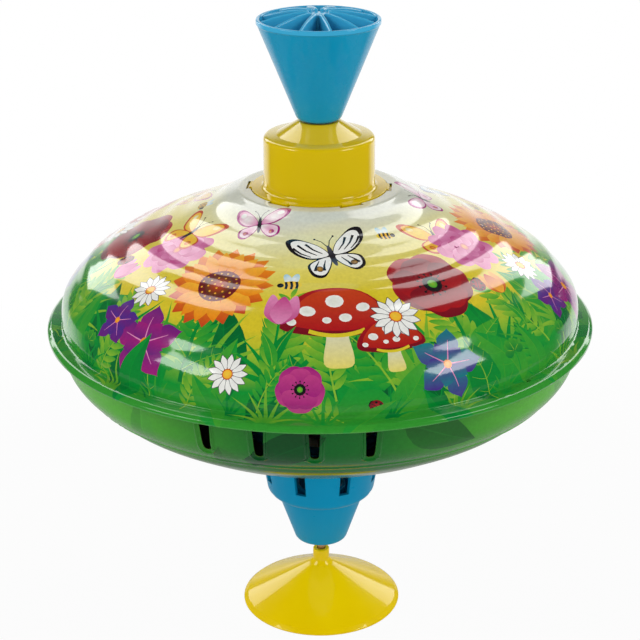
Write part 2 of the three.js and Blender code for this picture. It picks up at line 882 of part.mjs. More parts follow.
const foot = new THREE.Group();
foot.add(toMesh('foot', makeFoot(), yellowPlastic));
foot.add(toMesh('foot_plug', makeFootPlug(), nylon));
group.add(foot);

const body = new THREE.Group();
body.add(toMesh('axle_pin', makeAxlePin(), steel));
body.add(toMesh('pin_clip', makePinClip(), steel));
body.add(toMesh('pin_plug', makePinPlug(), nylon));
body.add(toMesh('lower_cup', makeLowerCup(), bluePlastic));
body.add(toMesh('lower_shell', makeLowerShell(), bowlTin));
body.add(toMesh('upper_shell', makeUpperShell(), domeTin));
body.add(toMesh('collar', makeCollar(), collarPlastic));
body.add(toMesh('spindle_guide', makeSpindleGuide(), nylon));
body.add(toMesh('guide_tube', makeGuideTube(), steel));
body.add(toMesh('clutch_seat', makeClutchSeat(), nylon));
body.add(toMesh('reed_plate', makeReedPlate(), nylon));
for (let i = 0; i < reedCount; i += 1) {
  body.add(toMesh(`reed_${i + 1}`, makeReed(i), brass));
  body.add(toMesh(`reed_rivet_${i + 1}`, makeReedRivet(i), brass));
}
group.add(body);

const drive = new THREE.Group();
drive.add(toMesh('driver', makeDriver(), nylon));
group.add(drive);

const handle = new THREE.Group();
handle.add(toMesh('spindle', makeSpindle(), steel));
handle.add(toMesh('spindle_stop', makeSpindleStop(), steel));
handle.add(toMesh('stop_pin', makeStopPin(), steel));
handle.add(toMesh('knob', makeKnob(), bluePlastic));
handle.add(toMesh('knob_pin', makeKnobPin(), steel));
group.add(handle);

export default group;
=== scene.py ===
import math
import random

import bmesh
import bpy
import numpy as np
from bpy.props import FloatProperty, FloatVectorProperty, IntProperty, PointerProperty
from bpy.types import Operator, Panel, PropertyGroup
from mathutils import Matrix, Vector
from mathutils.geometry import delaunay_2d_cdt


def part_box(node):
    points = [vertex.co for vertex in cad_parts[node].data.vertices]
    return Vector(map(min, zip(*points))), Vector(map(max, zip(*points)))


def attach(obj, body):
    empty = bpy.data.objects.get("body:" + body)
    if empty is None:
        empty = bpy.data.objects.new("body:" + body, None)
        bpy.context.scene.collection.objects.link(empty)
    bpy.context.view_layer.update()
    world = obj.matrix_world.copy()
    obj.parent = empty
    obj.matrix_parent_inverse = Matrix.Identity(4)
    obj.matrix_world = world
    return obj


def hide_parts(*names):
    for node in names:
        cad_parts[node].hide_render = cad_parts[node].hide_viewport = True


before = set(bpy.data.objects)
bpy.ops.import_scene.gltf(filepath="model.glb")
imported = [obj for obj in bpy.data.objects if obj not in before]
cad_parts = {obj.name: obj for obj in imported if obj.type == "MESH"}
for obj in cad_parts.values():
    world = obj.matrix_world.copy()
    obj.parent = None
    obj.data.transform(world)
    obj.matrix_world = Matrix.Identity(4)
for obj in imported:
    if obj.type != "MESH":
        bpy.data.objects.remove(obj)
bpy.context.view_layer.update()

bl_info = {
    "name": "Humming Top",
    "version": (1, 0, 0),
    "blender": (4, 5, 0),
    "location": "3D View > Sidebar > Humming Top",
    "description": "Makes the finished surfaces of a pump-handle humming top around its packed frame",
    "category": "Object",
}

# Outlines and places are in millimetres from the middle of the foot's underside; meshes are in metres.
# Angles run from the front, which is -Y, towards +X.
MM = 0.001


def low(node):
    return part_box(node)[0].z / MM


def high(node):
    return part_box(node)[1].z / MM


def reach(node):
    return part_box(node)[1].x / MM


# Levels and radii that the pieces share, read from the frame
FLANGE_RADIUS = reach("upper_shell")
BODY_RADIUS = FLANGE_RADIUS - 5
DOME_TOP = high("upper_shell")
DOME_HEIGHT = 45.7
SEAM_LEVEL = DOME_TOP - DOME_HEIGHT
BOWL_BOTTOM = low("lower_shell")
BOWL_DEPTH = SEAM_LEVEL - BOWL_BOTTOM
NOSE_BOTTOM = low("lower_cup")
STEP_LEVEL = NOSE_BOTTOM + 19.23
CUP_TOP = high("lower_cup")
COLLAR_TOP = high("collar")
COLLAR_BOTTOM = low("collar")
COLLAR_FLANGE_TOP = DOME_TOP + 0.4
KNOB_BOTTOM = low("knob")
KNOB_TOP = high("knob")
FOOT_TOP = high("foot")
FOOT_RADIUS = reach("foot")

# Outline of the dome, as shares of the body radius and of the dome height above the seam
DOME_SHARES = [
    (0.317, 0.985),
    (0.444, 0.857),
    (0.578, 0.741),
    (0.689, 0.65),
    (0.778, 0.562),
    (0.856, 0.47),
    (0.93, 0.344),
    (0.984, 0.212),
    (1.0, 0.094),
]

# Outline of the bowl, as shares of the body radius and of the bowl depth below the seam
BOWL_SHARES = [
    (0.32, 1.0),
    (0.444, 0.967),
    (0.556, 0.902),
    (0.678, 0.778),
    (0.767, 0.677),
    (0.856, 0.565),
    (0.922, 0.447),
    (0.961, 0.372),
    (0.989, 0.277),
    (1.0, 0.165),
]
SEAM_DROP = 1.4
HEM_THICKNESS = 1.35
FOLD_RADIUS = BODY_RADIUS + 0.7

# Rings pressed into the dome, by their distances along its outline
RINGS = 6
FIRST_RING = 9.2
RING_PITCH = 10.8

# Louvres of the bowl: angles in degrees, levels in millimetres
LOUVRE_GROUPS = 3
LOUVRES_PER_GROUP = 4
LOUVRE_PITCH = 11.2
LOUVRE_ANGLE = -6.8
LOUVRE_BOTTOM = SEAM_LEVEL - 14.8
LOUVRE_TOP = SEAM_LEVEL - 4.3

# Distances from a slot's edge at which the mesh has further points, to carry the louvre's lip
LIP_GAPS = (0.25, 0.5, 0.75, 0.95, 1.15, 1.35, 1.6, 2.1, 2.8)

# Crease pressed round the bowl below its louvres, with a shallow dip beside it
CREASE_RADIUS = 83.4
CREASE_HEIGHT = 0.4
CREASE_DIP = 0.35

# Cup: its wall leans out from the step to the neck under the bowl, and has air slots right round
CUP_WALL = 1.6
CUP_STEP_RADIUS = 19.02
CUP_NECK_RADIUS = 23.5
CUP_TAPER_HEIGHT = 25.41
CUP_SLOTS = 8
CUP_SLOT_ANGLE = 24.3
CUP_SLOT_WIDTH = 4.1
CUP_SLOT_RADIUS = 21.2

# Lugs of the collar and the notches that they sit in
LUGS = 6
LUG_ANGLE = 26.0
LUG_RADIUS = 24
LUG_HALF_WIDTH = 3.3
NOTCH_HALF_WIDTH = 4.15
NOTCH_DEPTH = 1.6

# Knob: its rim, its hub and the ribs that run between them
KNOB_RADIUS = 20.78
KNOB_HUB = 3.1
KNOB_RIBS = 12
KNOB_RIB_ANGLE = 12.0
KNOB_RIB_HALF = 0.65
KNOB_RIB_LENGTH = 16.4

# Strip of the spindle: its rise to a full turn, and its angle where it leaves the collar
SPINDLE_LEAD = 50.0
SPINDLE_ANGLE = -3.0

# Mesh rows lie this close at folds, and this radius turns angles into distances on the flat sheets
FINE_PITCH = 0.45
SHEET_RADIUS = 60.0

# The stage, in metres and degrees. Softboxes: angle from the front, lift, width and height
STAGE_MIDDLE = (0, 0, 0.11)
LAMP_DISTANCE = 1.0
SIDE_SOFTBOX = (66, 38, 0.38, 0.22)
REAR_SOFTBOX = (143, 36, 0.28, 1.04)
FLOOR_RADIUS = 0.36
FLOOR_FADE = (0.2, 0.34)
CAMERA_PLACE = (0, -0.56094, 0.33909)
CAMERA_TILT = 67.912
CAMERA_LENS = 96.55


def ink(red, green, blue):
    """Linear colour of a printed or moulded tone given as 0 to 255."""
    tones = [tone / 255 for tone in (red, green, blue)]
    return tuple(t / 12.92 if t <= 0.04045 else ((t + 0.055) / 1.055) ** 2.4 for t in tones)


class TopSizes(PropertyGroup):
    facets: IntProperty(name="Facets", description="Facets round a turned piece", default=160, min=32)
    tin: FloatProperty(
        name="Tin", description="Thickness of the tin shells", default=0.00035, unit='LENGTH', precision=5)
    ring_height: FloatProperty(
        name="Ring height", description="Height of the waves pressed round the dome", default=0.0004,
        unit='LENGTH', precision=5)
    louvre_width: FloatProperty(
        name="Louvre width", description="Width of a louvre slot at its upper end", default=0.0037,
        unit='LENGTH', precision=5)
    louvre_tip: FloatProperty(
        name="Louvre tip", description="Width of a louvre slot at its lower end", default=0.0028,
        unit='LENGTH', precision=5)
    louvre_lip: FloatProperty(
        name="Louvre lip", description="Height of the lip pressed round a louvre", default=0.00045,
        unit='LENGTH', precision=5)
    print_pitch: FloatProperty(
        name="Print pitch", description="Distance between the mesh rows of a printed shell",
        default=0.0012, unit='LENGTH', precision=5)
    print_columns: IntProperty(
        name="Print columns", description="Mesh columns round a printed shell", default=180, min=60)


class TopColours(PropertyGroup):
    foot: FloatVectorProperty(
        name="Foot", description="Yellow of the foot", subtype='COLOR', default=ink(255, 216, 0))
    collar: FloatVectorProperty(
        name="Collar", description="Yellow of the collar", subtype='COLOR', default=ink(216, 186, 0))
    cup: FloatVectorProperty(
        name="Cup", description="Blue of the lower cup", subtype='COLOR', default=ink(0, 156, 204))
    knob: FloatVectorProperty(
        name="Knob", description="Blue of the knob", subtype='COLOR', default=ink(0, 145, 186))
    # Lighter copy of the knob blue for its faces not turned downward: painted light
    knob_painted_light: FloatVectorProperty(
        name="Knob painted light", description="Lighter blue painted as light on the knob's faces not turned downward, its rim, ribs and inner side",
        subtype='COLOR', default=ink(58, 168, 210))
    nylon: FloatVectorProperty(
        name="Nylon", description="Natural nylon of the inner pieces", subtype='COLOR',
        default=ink(233, 229, 216))
    steel: FloatVectorProperty(
        name="Steel", description="Steel of the spindle and the small inner pieces", subtype='COLOR',
        default=ink(186, 187, 190))
    pin: FloatVectorProperty(
        name="Pin", description="Copper-washed steel of the pin", subtype='COLOR',
        default=ink(240, 190, 165))
    brass: FloatVectorProperty(
        name="Brass", description="Brass of the reeds", subtype='COLOR', default=ink(206, 170, 92))


class TopStage(PropertyGroup):
    floor: FloatVectorProperty(
        name="Floor", description="Pale floor", subtype='COLOR', default=(0.55, 0.55, 0.55))
    side_power: FloatProperty(
        name="Side power", description="Power of each softbox beside the camera", default=1.7,
        unit='POWER')
    rear_power: FloatProperty(
        name="Rear power", description="Power of each tall softbox behind the top", default=2.6,
        unit='POWER')
    world_level: FloatProperty(name="Surround", description="Level of the white surround", default=1.05)
    ceiling_level: FloatProperty(name="Ceiling", description="Level of the dimmer ceiling", default=0.22)
    dim_level: FloatProperty(
        name="Dim side", description="Level of the dim studio that gloss mirrors", default=0.04)
    roll: FloatProperty(
        name="Camera roll", description="Lean of the camera", default=math.radians(-0.285), unit='ROTATION')


# Paths in radius and height


def fillet(before, corner, after, radius, steps):
    """Points of a round of the given radius where two straight stretches meet."""
    here, first, second = Vector(corner), Vector(before), Vector(after)
    a, b = (first - here).normalized(), (second - here).normalized()
    turn = a.angle(b)
    if math.pi - turn < 0.01:
        return [tuple(here)]
    back = min(radius / math.tan(turn / 2), (first - here).length * 0.49, (second - here).length * 0.49)
    start, end = here + a * back, here + b * back
    middle = here + (a + b).normalized() * (back / math.cos(turn / 2))
    arm = start - middle
    sweep = arm.angle_signed(end - middle)
    points = []
    for i in range(steps + 1):
        angle = -sweep * i / steps
        points.append((
            middle.x + arm.x * math.cos(angle) - arm.y * math.sin(angle),
            middle.y + arm.x * math.sin(angle) + arm.y * math.cos(angle),
        ))
    return points


def rounded_path(corners, steps=6):
    """Path through (radius, height, round) corners."""
    path = []
    for i, (radius, height, turn) in enumerate(corners):
        if turn == 0 or i in (0, len(corners) - 1):
            path.append((radius, height))
        else:
            path += fillet(corners[i - 1][:2], (radius, height), corners[i + 1][:2], turn, steps)
    return path


def smooth_span(four, steps):
    """Points from the second of four points up to the third, on a curve that heeds the outer two."""
    a, b, c, d = (np.array(point, float) for point in four)
    span = []
    for k in range(steps):
        t = k / steps
        bend = (2 * a - 5 * b + 4 * c - d) * t * t + (3 * b - a - 3 * c + d) * t ** 3
        span.append(tuple(0.5 * (2 * b + (c - a) * t + bend)))
    return span


def smooth_path(points, steps):
    """Curve through the points, with the given number of steps between each two."""
    ends = [points[0], *points, points[-1]]
    path = []
    for i in range(len(points) - 1):
        path += smooth_span(ends[i:i + 4], steps)
    path.append(tuple(points[-1]))
    return path


class Profile:
    """A path by its length: radius and height at a distance along it.

    outward is 1 where the outer side lies to the left of the path, else -1."""

    def __init__(self, path, outward, even=0.05):
        self.outward = outward
        rough = np.array(path, float)
        keep = np.append(True, np.linalg.norm(np.diff(rough, axis=0), axis=1) > 1e-6)
        rough = rough[keep]
        along = np.append(0, np.cumsum(np.linalg.norm(np.diff(rough, axis=0), axis=1)))
        self.length = along[-1]
        self.along = np.linspace(0, self.length, int(self.length / even) + 1)
        self.radius = np.interp(self.along, along, rough[:, 0])
        self.height = np.interp(self.along, along, rough[:, 1])

    def at(self, s):
        """Radius and height at a distance along the path."""
        return np.interp(s, self.along, self.radius), np.interp(s, self.along, self.height)

    def distance_at_radius(self, radius):
        """Distance along the path of its place nearest to a radius."""
        return float(self.along[np.argmin(np.abs(self.radius - radius))])

    def distance_at_height(self, height):
        """Distance along the path of its place nearest to a height."""
        return float(self.along[np.argmin(np.abs(self.height - height))])

    def rows(self, pitch, fine, places):
        """Distances of the mesh rows: a pitch, and a fine one in each (from, to) of the places."""
        rows = [0.0]
        while rows[-1] < self.length:
            here = rows[-1]
            near = any(start <= here <= end for start, end in places)
            ahead = [start for start, _ in places if here < start < here + pitch]
            step = fine if near else min([pitch] + [max(start - here, fine) for start in ahead])
            rows.append(here + step)
        rows[-1] = self.length
        return rows


# Meshes


def new_piece(name, mesh, materials, body, node):
    """Puts a mesh in the scene as the finished form of a node of the frame."""
    piece = bpy.data.objects.new(name, mesh)
    bpy.context.scene.collection.objects.link(piece)
    for material in materials:
        mesh.materials.append(material)
    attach(piece, body)
    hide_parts(node)


def around(angle, radius, height):
    """Point at an angle in degrees from the front, in metres."""
    turn = math.radians(angle)
    return (radius * math.sin(turn) * MM, -radius * math.cos(turn) * MM, height * MM)


def even_angles(count):
    return [360 * i / count for i in range(count)]


def add_turned(bm, path, angles, windows=None):
    """Adds a turned solid. The path closes on itself, or starts and ends on the axis.

    windows is (outer row, inner row, columns): cells that are left open right through the wall."""
    outer_row, inner_row, columns = windows or (None, None, ())
    on_axis = path[0][0] == 0
    rings = []
    for radius, height in path:
        if radius == 0:
            rings.append([bm.verts.new((0, 0, height * MM))] * len(angles))
        else:
            rings.append([bm.verts.new(around(angle, radius, height)) for angle in angles])
    count = len(angles)
    for row in range(len(path) - on_axis):
        here, there = rings[row], rings[(row + 1) % len(path)]
        for i in range(count):
            if row in (outer_row, inner_row) and i in columns:
                continue
            j = (i + 1) % count
            corners = []
            for vert in (here[i], here[j], there[j], there[i]):
                if vert not in corners:
                    corners.append(vert)
            if len(corners) > 2:
                bm.faces.new(corners)
    for i in columns:
        j = (i + 1) % count
        outside, inside = [
            [rings[first][i], rings[first][j], rings[last][j], rings[last][i]]
            for first, last in ((outer_row, outer_row + 1), (inner_row + 1, inner_row))
        ]
        for k in range(4):
            m = (k + 1) % 4
            bm.faces.new((outside[k], outside[m], inside[m], inside[k]))


def add_loft(bm, sections):
    """Adds a closed solid through sections, each a list of points in metres."""
    rings = [[bm.verts.new(point) for point in section] for section in sections]
    count = len(rings[0])
    for here, there in zip(rings, rings[1:]):
        for i in range(count):
            j = (i + 1) % count
            bm.faces.new((here[i], here[j], there[j], there[i]))
    bm.faces.new(reversed(rings[0]))
    bm.faces.new(rings[-1])


def to_mesh(bm, name, sharp=32.0, upward=1.1):
    """Turns the bmesh into a smooth-shaded mesh with sharp edges where faces meet at an angle.

    Faces whose normals rise more than upward take the second material."""
    bmesh.ops.recalc_face_normals(bm, faces=bm.faces)
    limit = math.radians(sharp)
    for face in bm.faces:
        # On the knob the second material is a lighter blue on faces not turned downward: painted light
        face.material_index = int(face.normal.z > upward)
        face.smooth = True
    for edge in bm.edges:
        if len(edge.link_faces) == 2 and edge.calc_face_angle(0) > limit:
            edge.smooth = False
    mesh = bpy.data.meshes.new(name)
    bm.to_mesh(mesh)
    bm.free()
    return mesh


# Materials


class Tree:
    """A node tree, with short calls for adding and linking nodes."""

    def __init__(self, tree):
        self.tree = tree

    def add(self, kind, **values):
        """Adds a node and sets its sockets and options by name."""
        node = self.tree.nodes.new(kind)
        for key, value in values.items():
            if key in node.inputs:
                node.inputs[key].default_value = value
            else:
                setattr(node, key, value)
        return node

    def link(self, source, target):
        self.tree.links.new(source, target)

    def ramp(self, source, start, end, first, last):
        """A soft step from the first value to the last one between two values of the source."""
        node = self.add("ShaderNodeMapRange", interpolation_type='SMOOTHSTEP')
        for name, value in (("From Min", start), ("From Max", end), ("To Min", first), ("To Max", last)):
            node.inputs[name].default_value = value
        self.link(source, node.inputs["Value"])
        return node.outputs["Result"]

    def combine(self, operation, first, second, clamp=False):
        """The outcome of a maths operation on two sockets."""
        node = self.add("ShaderNodeMath", operation=operation, use_clamp=clamp)
        self.link(first, node.inputs[0])
        self.link(second, node.inputs[1])
        return node.outputs[0]

    def blend_shaders(self, fac, first, second):
        """A mix of two shaders, by a socket."""
        node = self.add("ShaderNodeMixShader")
        for source, socket in zip((fac, first, second), node.inputs):
            self.link(source, socket)
        return node.outputs[0]


class Finish(Tree):
    """A material around Blender's own surface shader, with short calls for what the finishes here need."""

    def __init__(self, name):
        self.material = bpy.data.materials.new(name)
        self.material.use_nodes = True
        super().__init__(self.material.node_tree)
        self.shader = self.tree.nodes["Principled BSDF"]

    def place(self):
        return self.add("ShaderNodeTexCoord").outputs["Object"]

    def noise(self, scale, detail=3.0, stretch=None):
        """Noise in the piece's own coordinates, drawn out where a stretch below 1 is given."""
        texture = self.add("ShaderNodeTexNoise", Scale=scale, Detail=detail)
        place = self.place()
        if stretch:
            mapping = self.add("ShaderNodeMapping", Scale=stretch)
            self.link(place, mapping.inputs["Vector"])
            place = mapping.outputs["Vector"]
        self.link(place, texture.inputs["Vector"])
        return texture.outputs["Fac"]

    def spread(self, source, lowest, highest):
        """Spreads the middle of a noise to the given range."""
        node = self.add("ShaderNodeMapRange")
        for name, value in (("From Min", 0.3), ("From Max", 0.7), ("To Min", lowest), ("To Max", highest)):
            node.inputs[name].default_value = value
        self.link(source, node.inputs["Value"])
        return node.outputs["Result"]

    def tint(self, fac, first, second):
        """A colour between two, by a socket."""
        node = self.add("ShaderNodeMix", data_type='RGBA')
        colours = [socket for socket in node.inputs if socket.type == 'RGBA']
        colours[0].default_value = (*first, 1)
        colours[1].default_value = (*second, 1)
        self.link(fac, node.inputs["Factor"])
        return [socket for socket in node.outputs if socket.type == 'RGBA'][0]

    def bump(self, *pairs):
        """Bump from (height, depth in metres) pairs, one on the other."""
        normal = None
        for height, depth in pairs:
            node = self.add("ShaderNodeBump")
            node.inputs["Strength"].default_value = 1.0
            node.inputs["Distance"].default_value = depth
            self.link(height, node.inputs["Height"])
            if normal:
                self.link(normal, node.inputs["Normal"])
            normal = node.outputs["Normal"]
        self.link(normal, self.shader.inputs["Normal"])

    def base(self, source):
        self.link(source, self.shader.inputs["Base Color"])

    def rough(self, source):
        self.link(source, self.shader.inputs["Roughness"])

    def set(self, **values):
        """Sets the shader's own sockets, whose names have spaces in place of underscores."""
        for key, value in values.items():
            self.shader.inputs[key.replace("_", " ")].default_value = value


def shade(colour, factor):
    return tuple(min(1.0, channel * factor) for channel in colour)


def moulded_plastic(name, colour, roughness, skin):
    """Gloss moulding: faint flow marks in tone and gloss, a shallow orange peel and a bright skin."""
    finish = Finish(name)
    flow = finish.spread(finish.noise(38.0, 2.0, (1, 1, 0.35)), 0.0, 1.0)
    finish.base(finish.tint(flow, shade(colour, 0.95), shade(colour, 1.04)))
    finish.rough(finish.spread(finish.noise(160.0, 4.0), roughness - 0.03, roughness + 0.05))
    finish.bump((finish.noise(420.0, 2.0), 0.00001), (finish.noise(60.0, 1.0), 0.00006))
    finish.set(IOR=1.5, Specular_IOR_Level=0.1, Coat_Weight=skin, Coat_Roughness=0.05)
    return finish.material


def printed_tin(name, varnish):
    """Offset-printed tin under clear varnish: the print's colours, a fine screen grain and a wet gloss."""
    finish = Finish(name)
    printed = finish.add("ShaderNodeVertexColor", layer_name="print")
    grain = finish.add("ShaderNodeMix", data_type='RGBA', blend_type='MULTIPLY')
    colours = [socket for socket in grain.inputs if socket.type == 'RGBA']
    grain.inputs["Factor"].default_value = 1.0
    finish.link(printed.outputs["Color"], colours[0])
    screen = finish.spread(finish.noise(900.0, 2.0), 0.0, 1.0)
    finish.link(finish.tint(screen, (0.93, 0.93, 0.93), (1.04, 1.04, 1.04)), colours[1])
    finish.base([socket for socket in grain.outputs if socket.type == 'RGBA'][0])
    finish.rough(finish.spread(finish.noise(90.0, 3.0), 0.16, 0.24))
    finish.bump((finish.noise(45.0, 2.0), 0.00003), (finish.noise(600.0, 1.0), 0.000003))
    finish.set(IOR=1.5, Specular_IOR_Level=0.12, Coat_Weight=varnish, Coat_Roughness=0.07, Coat_IOR=1.55)
    return finish.material


def bare_tin(name):
    """The unprinted inner side of the tin, with its gold lacquer."""
    finish = Finish(name)
    patches = finish.spread(finish.noise(50.0, 4.0), 0.0, 1.0)
    finish.base(finish.tint(patches, (0.42, 0.36, 0.22), (0.5, 0.45, 0.32)))
    finish.rough(finish.spread(finish.noise(300.0, 3.0), 0.3, 0.45))
    finish.set(Metallic=0.9)
    return finish.material


def drawn_metal(name, colour, roughness, stretch=(1, 1, 0.04), metallic=1.0):
    """Metal with fine lines along the way it was drawn or rolled."""
    finish = Finish(name)
    lines = finish.noise(900.0, 3.0, stretch)
    finish.base(finish.tint(finish.spread(lines, 0.0, 1.0), shade(colour, 0.86), shade(colour, 1.06)))
    finish.rough(finish.spread(lines, roughness - 0.08, roughness + 0.1))
    finish.bump((lines, 0.00001))
    finish.set(Metallic=metallic)
    return finish.material


def natural_nylon(name, colour):
    """Matt nylon with a cloudy tone and a fine texture."""
    finish = Finish(name)
    clouds = finish.spread(finish.noise(120.0, 4.0), 0.0, 1.0)
    finish.base(finish.tint(clouds, shade(colour, 0.9), colour))
    finish.rough(finish.spread(finish.noise(400.0, 3.0), 0.45, 0.62))
    finish.bump((finish.noise(700.0, 3.0), 0.00004))
    finish.set(Subsurface_Weight=0.08, Subsurface_Scale=0.002)
    return finish.material


# Printed motifs. A motif is a list of patches, each (outline, first colour, second colour, run):
# run is "up" for a blend from the lowest to the highest point, or "out" from the middle to the edge.
# Their outlines are in millimetres, right and up, on the flat.

CREAM = ink(212, 214, 200)
CHALK = ink(226, 222, 170)
STRAW = ink(226, 212, 104)
OCHRE = ink(215, 195, 42)
YELLOW = ink(232, 206, 62)
LIME = ink(134, 182, 48)
GRASS = ink(66, 158, 44)
MEADOW = ink(50, 150, 46)
LEAF = ink(6, 146, 50)
DEEP = ink(0, 122, 50)
PINE = ink(0, 92, 44)
ORANGE = ink(232, 132, 18)
AMBER = ink(244, 178, 48)
RUST = ink(196, 66, 26)
CRIMSON = ink(172, 22, 28)
WINE = ink(112, 14, 30)
PINK = ink(222, 138, 182)
ROSE = ink(190, 64, 130)
MAGENTA = ink(158, 30, 118)
PLUM = ink(106, 30, 120)
VIOLET = ink(70, 42, 136)
TEAL = ink(22, 124, 130)
SKY = ink(150, 200, 214)
WHITE = ink(238, 238, 232)
COAL = ink(26, 22, 26)
SLATE = ink(86, 86, 96)
BARK = ink(92, 52, 30)


def closed_curve(points, steps):
    """Smooth closed outline through the points."""
    outline = []
    for i in range(len(points)):
        outline += smooth_span([points[(i + k) % len(points)] for k in (-1, 0, 1, 2)], steps)
    return outline


def moved(patches, x=0.0, y=0.0, turn=0.0, size=1.0, mirror=1.0):
    """Patches turned by degrees, sized and moved."""
    cosine, sine = math.cos(math.radians(turn)), math.sin(math.radians(turn))
    result = []
    for outline, first, second, run in patches:
        points = []
        for u, v in outline:
            u, v = u * size * mirror, v * size
            points.append((x + u * cosine - v * sine, y + u * sine + v * cosine))
        result.append((points, first, second, run))
    return result


def ring(count, across, up, start=0.0):
    """Points spread evenly round an oval, from a share of a step on."""
    turns = [math.tau * (i + start) / count for i in range(count)]
    return [(across * math.cos(turn), up * math.sin(turn)) for turn in turns]


def oval(x, y, across, up, first, second=None, count=18):
    outline = [(x + right, y + rise) for right, rise in ring(count, across, up)]
    return (outline, first, second or first, "out")


def dot(x, y, radius, first, second=None, count=18):
    return oval(x, y, radius, radius, first, second, count)


def strip(points, start, end, first, second=None):
    """A line along the points. Its width runs from start to end."""
    places = [np.array(point, float) for point in points]
    left, right = [], []
    for i, place in enumerate(places):
        ahead = places[min(i + 1, len(places) - 1)] - places[max(i - 1, 0)]
        side = np.array((-ahead[1], ahead[0])) / np.linalg.norm(ahead)
        half = (start + (end - start) * i / (len(places) - 1)) / 2
        left.append(tuple(place + side * half))
        right.append(tuple(place - side * half))
    return (left + right[::-1], first, second or first, "up")


def stalk(length, bend, count=9):
    """Points of a stem that leaves upwards and leans over to one side."""
    return [(bend * (i / (count - 1)) ** 2, length * i / (count - 1)) for i in range(count)]


def leaf(length, width, bend, first, second, vein, veins=0):
    """A broad leaf: two halves of different tone, a midrib and side veins."""
    middle = stalk(length, bend)
    patches = []
    for side, (low_tone, high_tone) in ((-1, (first, second)), (1, (second, first))):
        edge = []
        for i, (x, y) in enumerate(middle):
            share = i / (len(middle) - 1)
            edge.append((x + side * width / 2 * math.sin(math.pi * share ** 0.8), y))
        patches.append((middle + edge[-2:0:-1], low_tone, high_tone, "up"))
    patches.append(strip(middle, length / 60, length / 160, vein))
    for i in range(veins):
        share = 0.18 + 0.62 * i / max(veins - 1, 1)
        x, y = bend * share ** 2, length * share
        span = width / 2 * math.sin(math.pi * share ** 0.8) * 0.75
        for side in (-1, 1):
            end = (x + side * span, y + span * 0.7)
            half = (x + side * span * 0.5, y + span * 0.28)
            patches.append(strip([(x, y), half, end], length / 140, length / 260, vein))
    return patches


def vetch(length, pairs, bend, first, second, vein):
    """A spray of narrow oval leaflets in pairs along a curved stem."""
    patches = []
    shape = closed_curve([(0, 0), (-0.16, 0.3), (-0.13, 0.72), (0, 1), (0.13, 0.72), (0.16, 0.3)], 2)
    for i in range(pairs):
        share = 0.12 + 0.8 * i / (pairs - 1)
        x, y = bend * share ** 2, length * share
        lean = -math.degrees(math.atan2(2 * bend * share, length))
        size = length * 0.3 * math.sin(math.pi * (0.16 + 0.72 * share))
        for side in (-1, 1):
            tones = (first, second) if side < 0 else (second, first)
            patches += moved([(shape, *tones, "up")], x, y, lean - side * 52, size)
    tip = [(shape, first, second, "up")]
    patches += moved(tip, bend * 0.94, length * 0.96, -20 * bend / length, length * 0.14)
    patches.append(strip(stalk(length, bend), length / 46, length / 120, vein))
    return patches


def blade(length, width, bend, first, second):
    """A grass blade that tapers to its tip."""
    middle = stalk(length, bend, 8)
    left, right = [], []
    for i, (x, y) in enumerate(middle):
        half = width / 2 * (1 - (i / (len(middle) - 1)) ** 1.6)
        left.append((x - half, y))
        right.append((x + half, y))
    return (left[:-1] + [middle[-1]] + right[-2::-1], first, second, "up")


def tuft(count, length, spread, first, second):
    """A fan of grass blades."""
    patches = []
    for i in range(count):
        share = 2 * i / (count - 1) - 1
        size = length * (1 - 0.28 * abs(share)) * (1 if i % 2 else 0.84)
        one = blade(size, length * 0.09, share * length * 0.35, first, second)
        patches += moved([one], x=share * length * 0.12, turn=-share * spread)
    return patches


def petals(count, inner, length, width, first, second, turn=0.0, point=0.5):
    """A ring of petals round the middle."""
    shape = closed_curve([
        (0, inner), (-width * 0.36, inner + length * 0.3), (-width / 2, inner + length * 0.62),
        (-width * 0.3 * (1 - point), inner + length * 0.93), (0, inner + length),
        (width * 0.3 * (1 - point), inner + length * 0.93), (width / 2, inner + length * 0.62),
        (width * 0.36, inner + length * 0.3),
    ], 3)
    patches = []
    for i in range(count):
        patches += moved([(shape, first, second, "up")], turn=turn + 360 * i / count)
    return patches


def sunflower(radius):
    """Large orange flower with two rings of petals and a dark seed disc."""
    patches = petals(16, 0.3, 0.7, 0.34, RUST, ORANGE, 11, 0.6)
    patches += petals(16, 0.3, 0.6, 0.27, ORANGE, AMBER, 0, 0.6)
    patches += [dot(0, 0, 0.4, BARK, WINE, 28), dot(0, 0, 0.26, RUST, BARK, 20)]
    for size, count in ((0.33, 16), (0.2, 9), (0.08, 4)):
        patches += [dot(x, y, 0.022, AMBER, count=6) for x, y in ring(count, size, size)]
    return moved(patches, size=radius)


def peony(radius, edge, heart):
    """Full flower of three rings of rounded petals."""
    patches = petals(9, 0.1, 0.9, 0.62, edge, heart, 0, 0.1)
    patches += petals(8, 0.08, 0.66, 0.5, heart, edge, 20, 0.1)
    patches += petals(6, 0.04, 0.44, 0.36, edge, heart, 50, 0.1)
    patches.append(dot(0, 0, 0.14, AMBER, heart, 12))
    return moved(patches, size=radius)


def poppy(radius, edge, heart):
    """Open flower of broad overlapping petals with a black eye."""
    patches = petals(5, 0.02, 1, 1.15, heart, edge, 36, 0.0)
    patches += petals(5, 0.02, 0.86, 0.95, edge, heart, 0, 0.0)
    patches.append(dot(0, 0, 0.24, COAL))
    for x, y in ring(12, 0.34, 0.34):
        patches.append(strip([(x * 0.6, y * 0.6), (x, y)], 0.02, 0.02, COAL))
        patches.append(dot(x, y, 0.035, COAL, count=6))
    patches.append(dot(0, 0, 0.12, LIME, GRASS, 12))
    return moved(patches, size=radius)


def daisy(radius):
    """White flower with a thin dark edge to each petal and a yellow eye."""
    count = 13
    patches = []
    for i in range(count):
        turn = 360 * i / count
        patches += petals(1, 0.2, 0.82, 0.36, SLATE, COAL, turn)
        patches += petals(1, 0.22, 0.76, 0.3, WHITE, WHITE, turn)
    patches += [dot(0, 0, 0.27, ORANGE, RUST), dot(0, 0, 0.22, YELLOW, AMBER)]
    return moved(patches, size=radius)


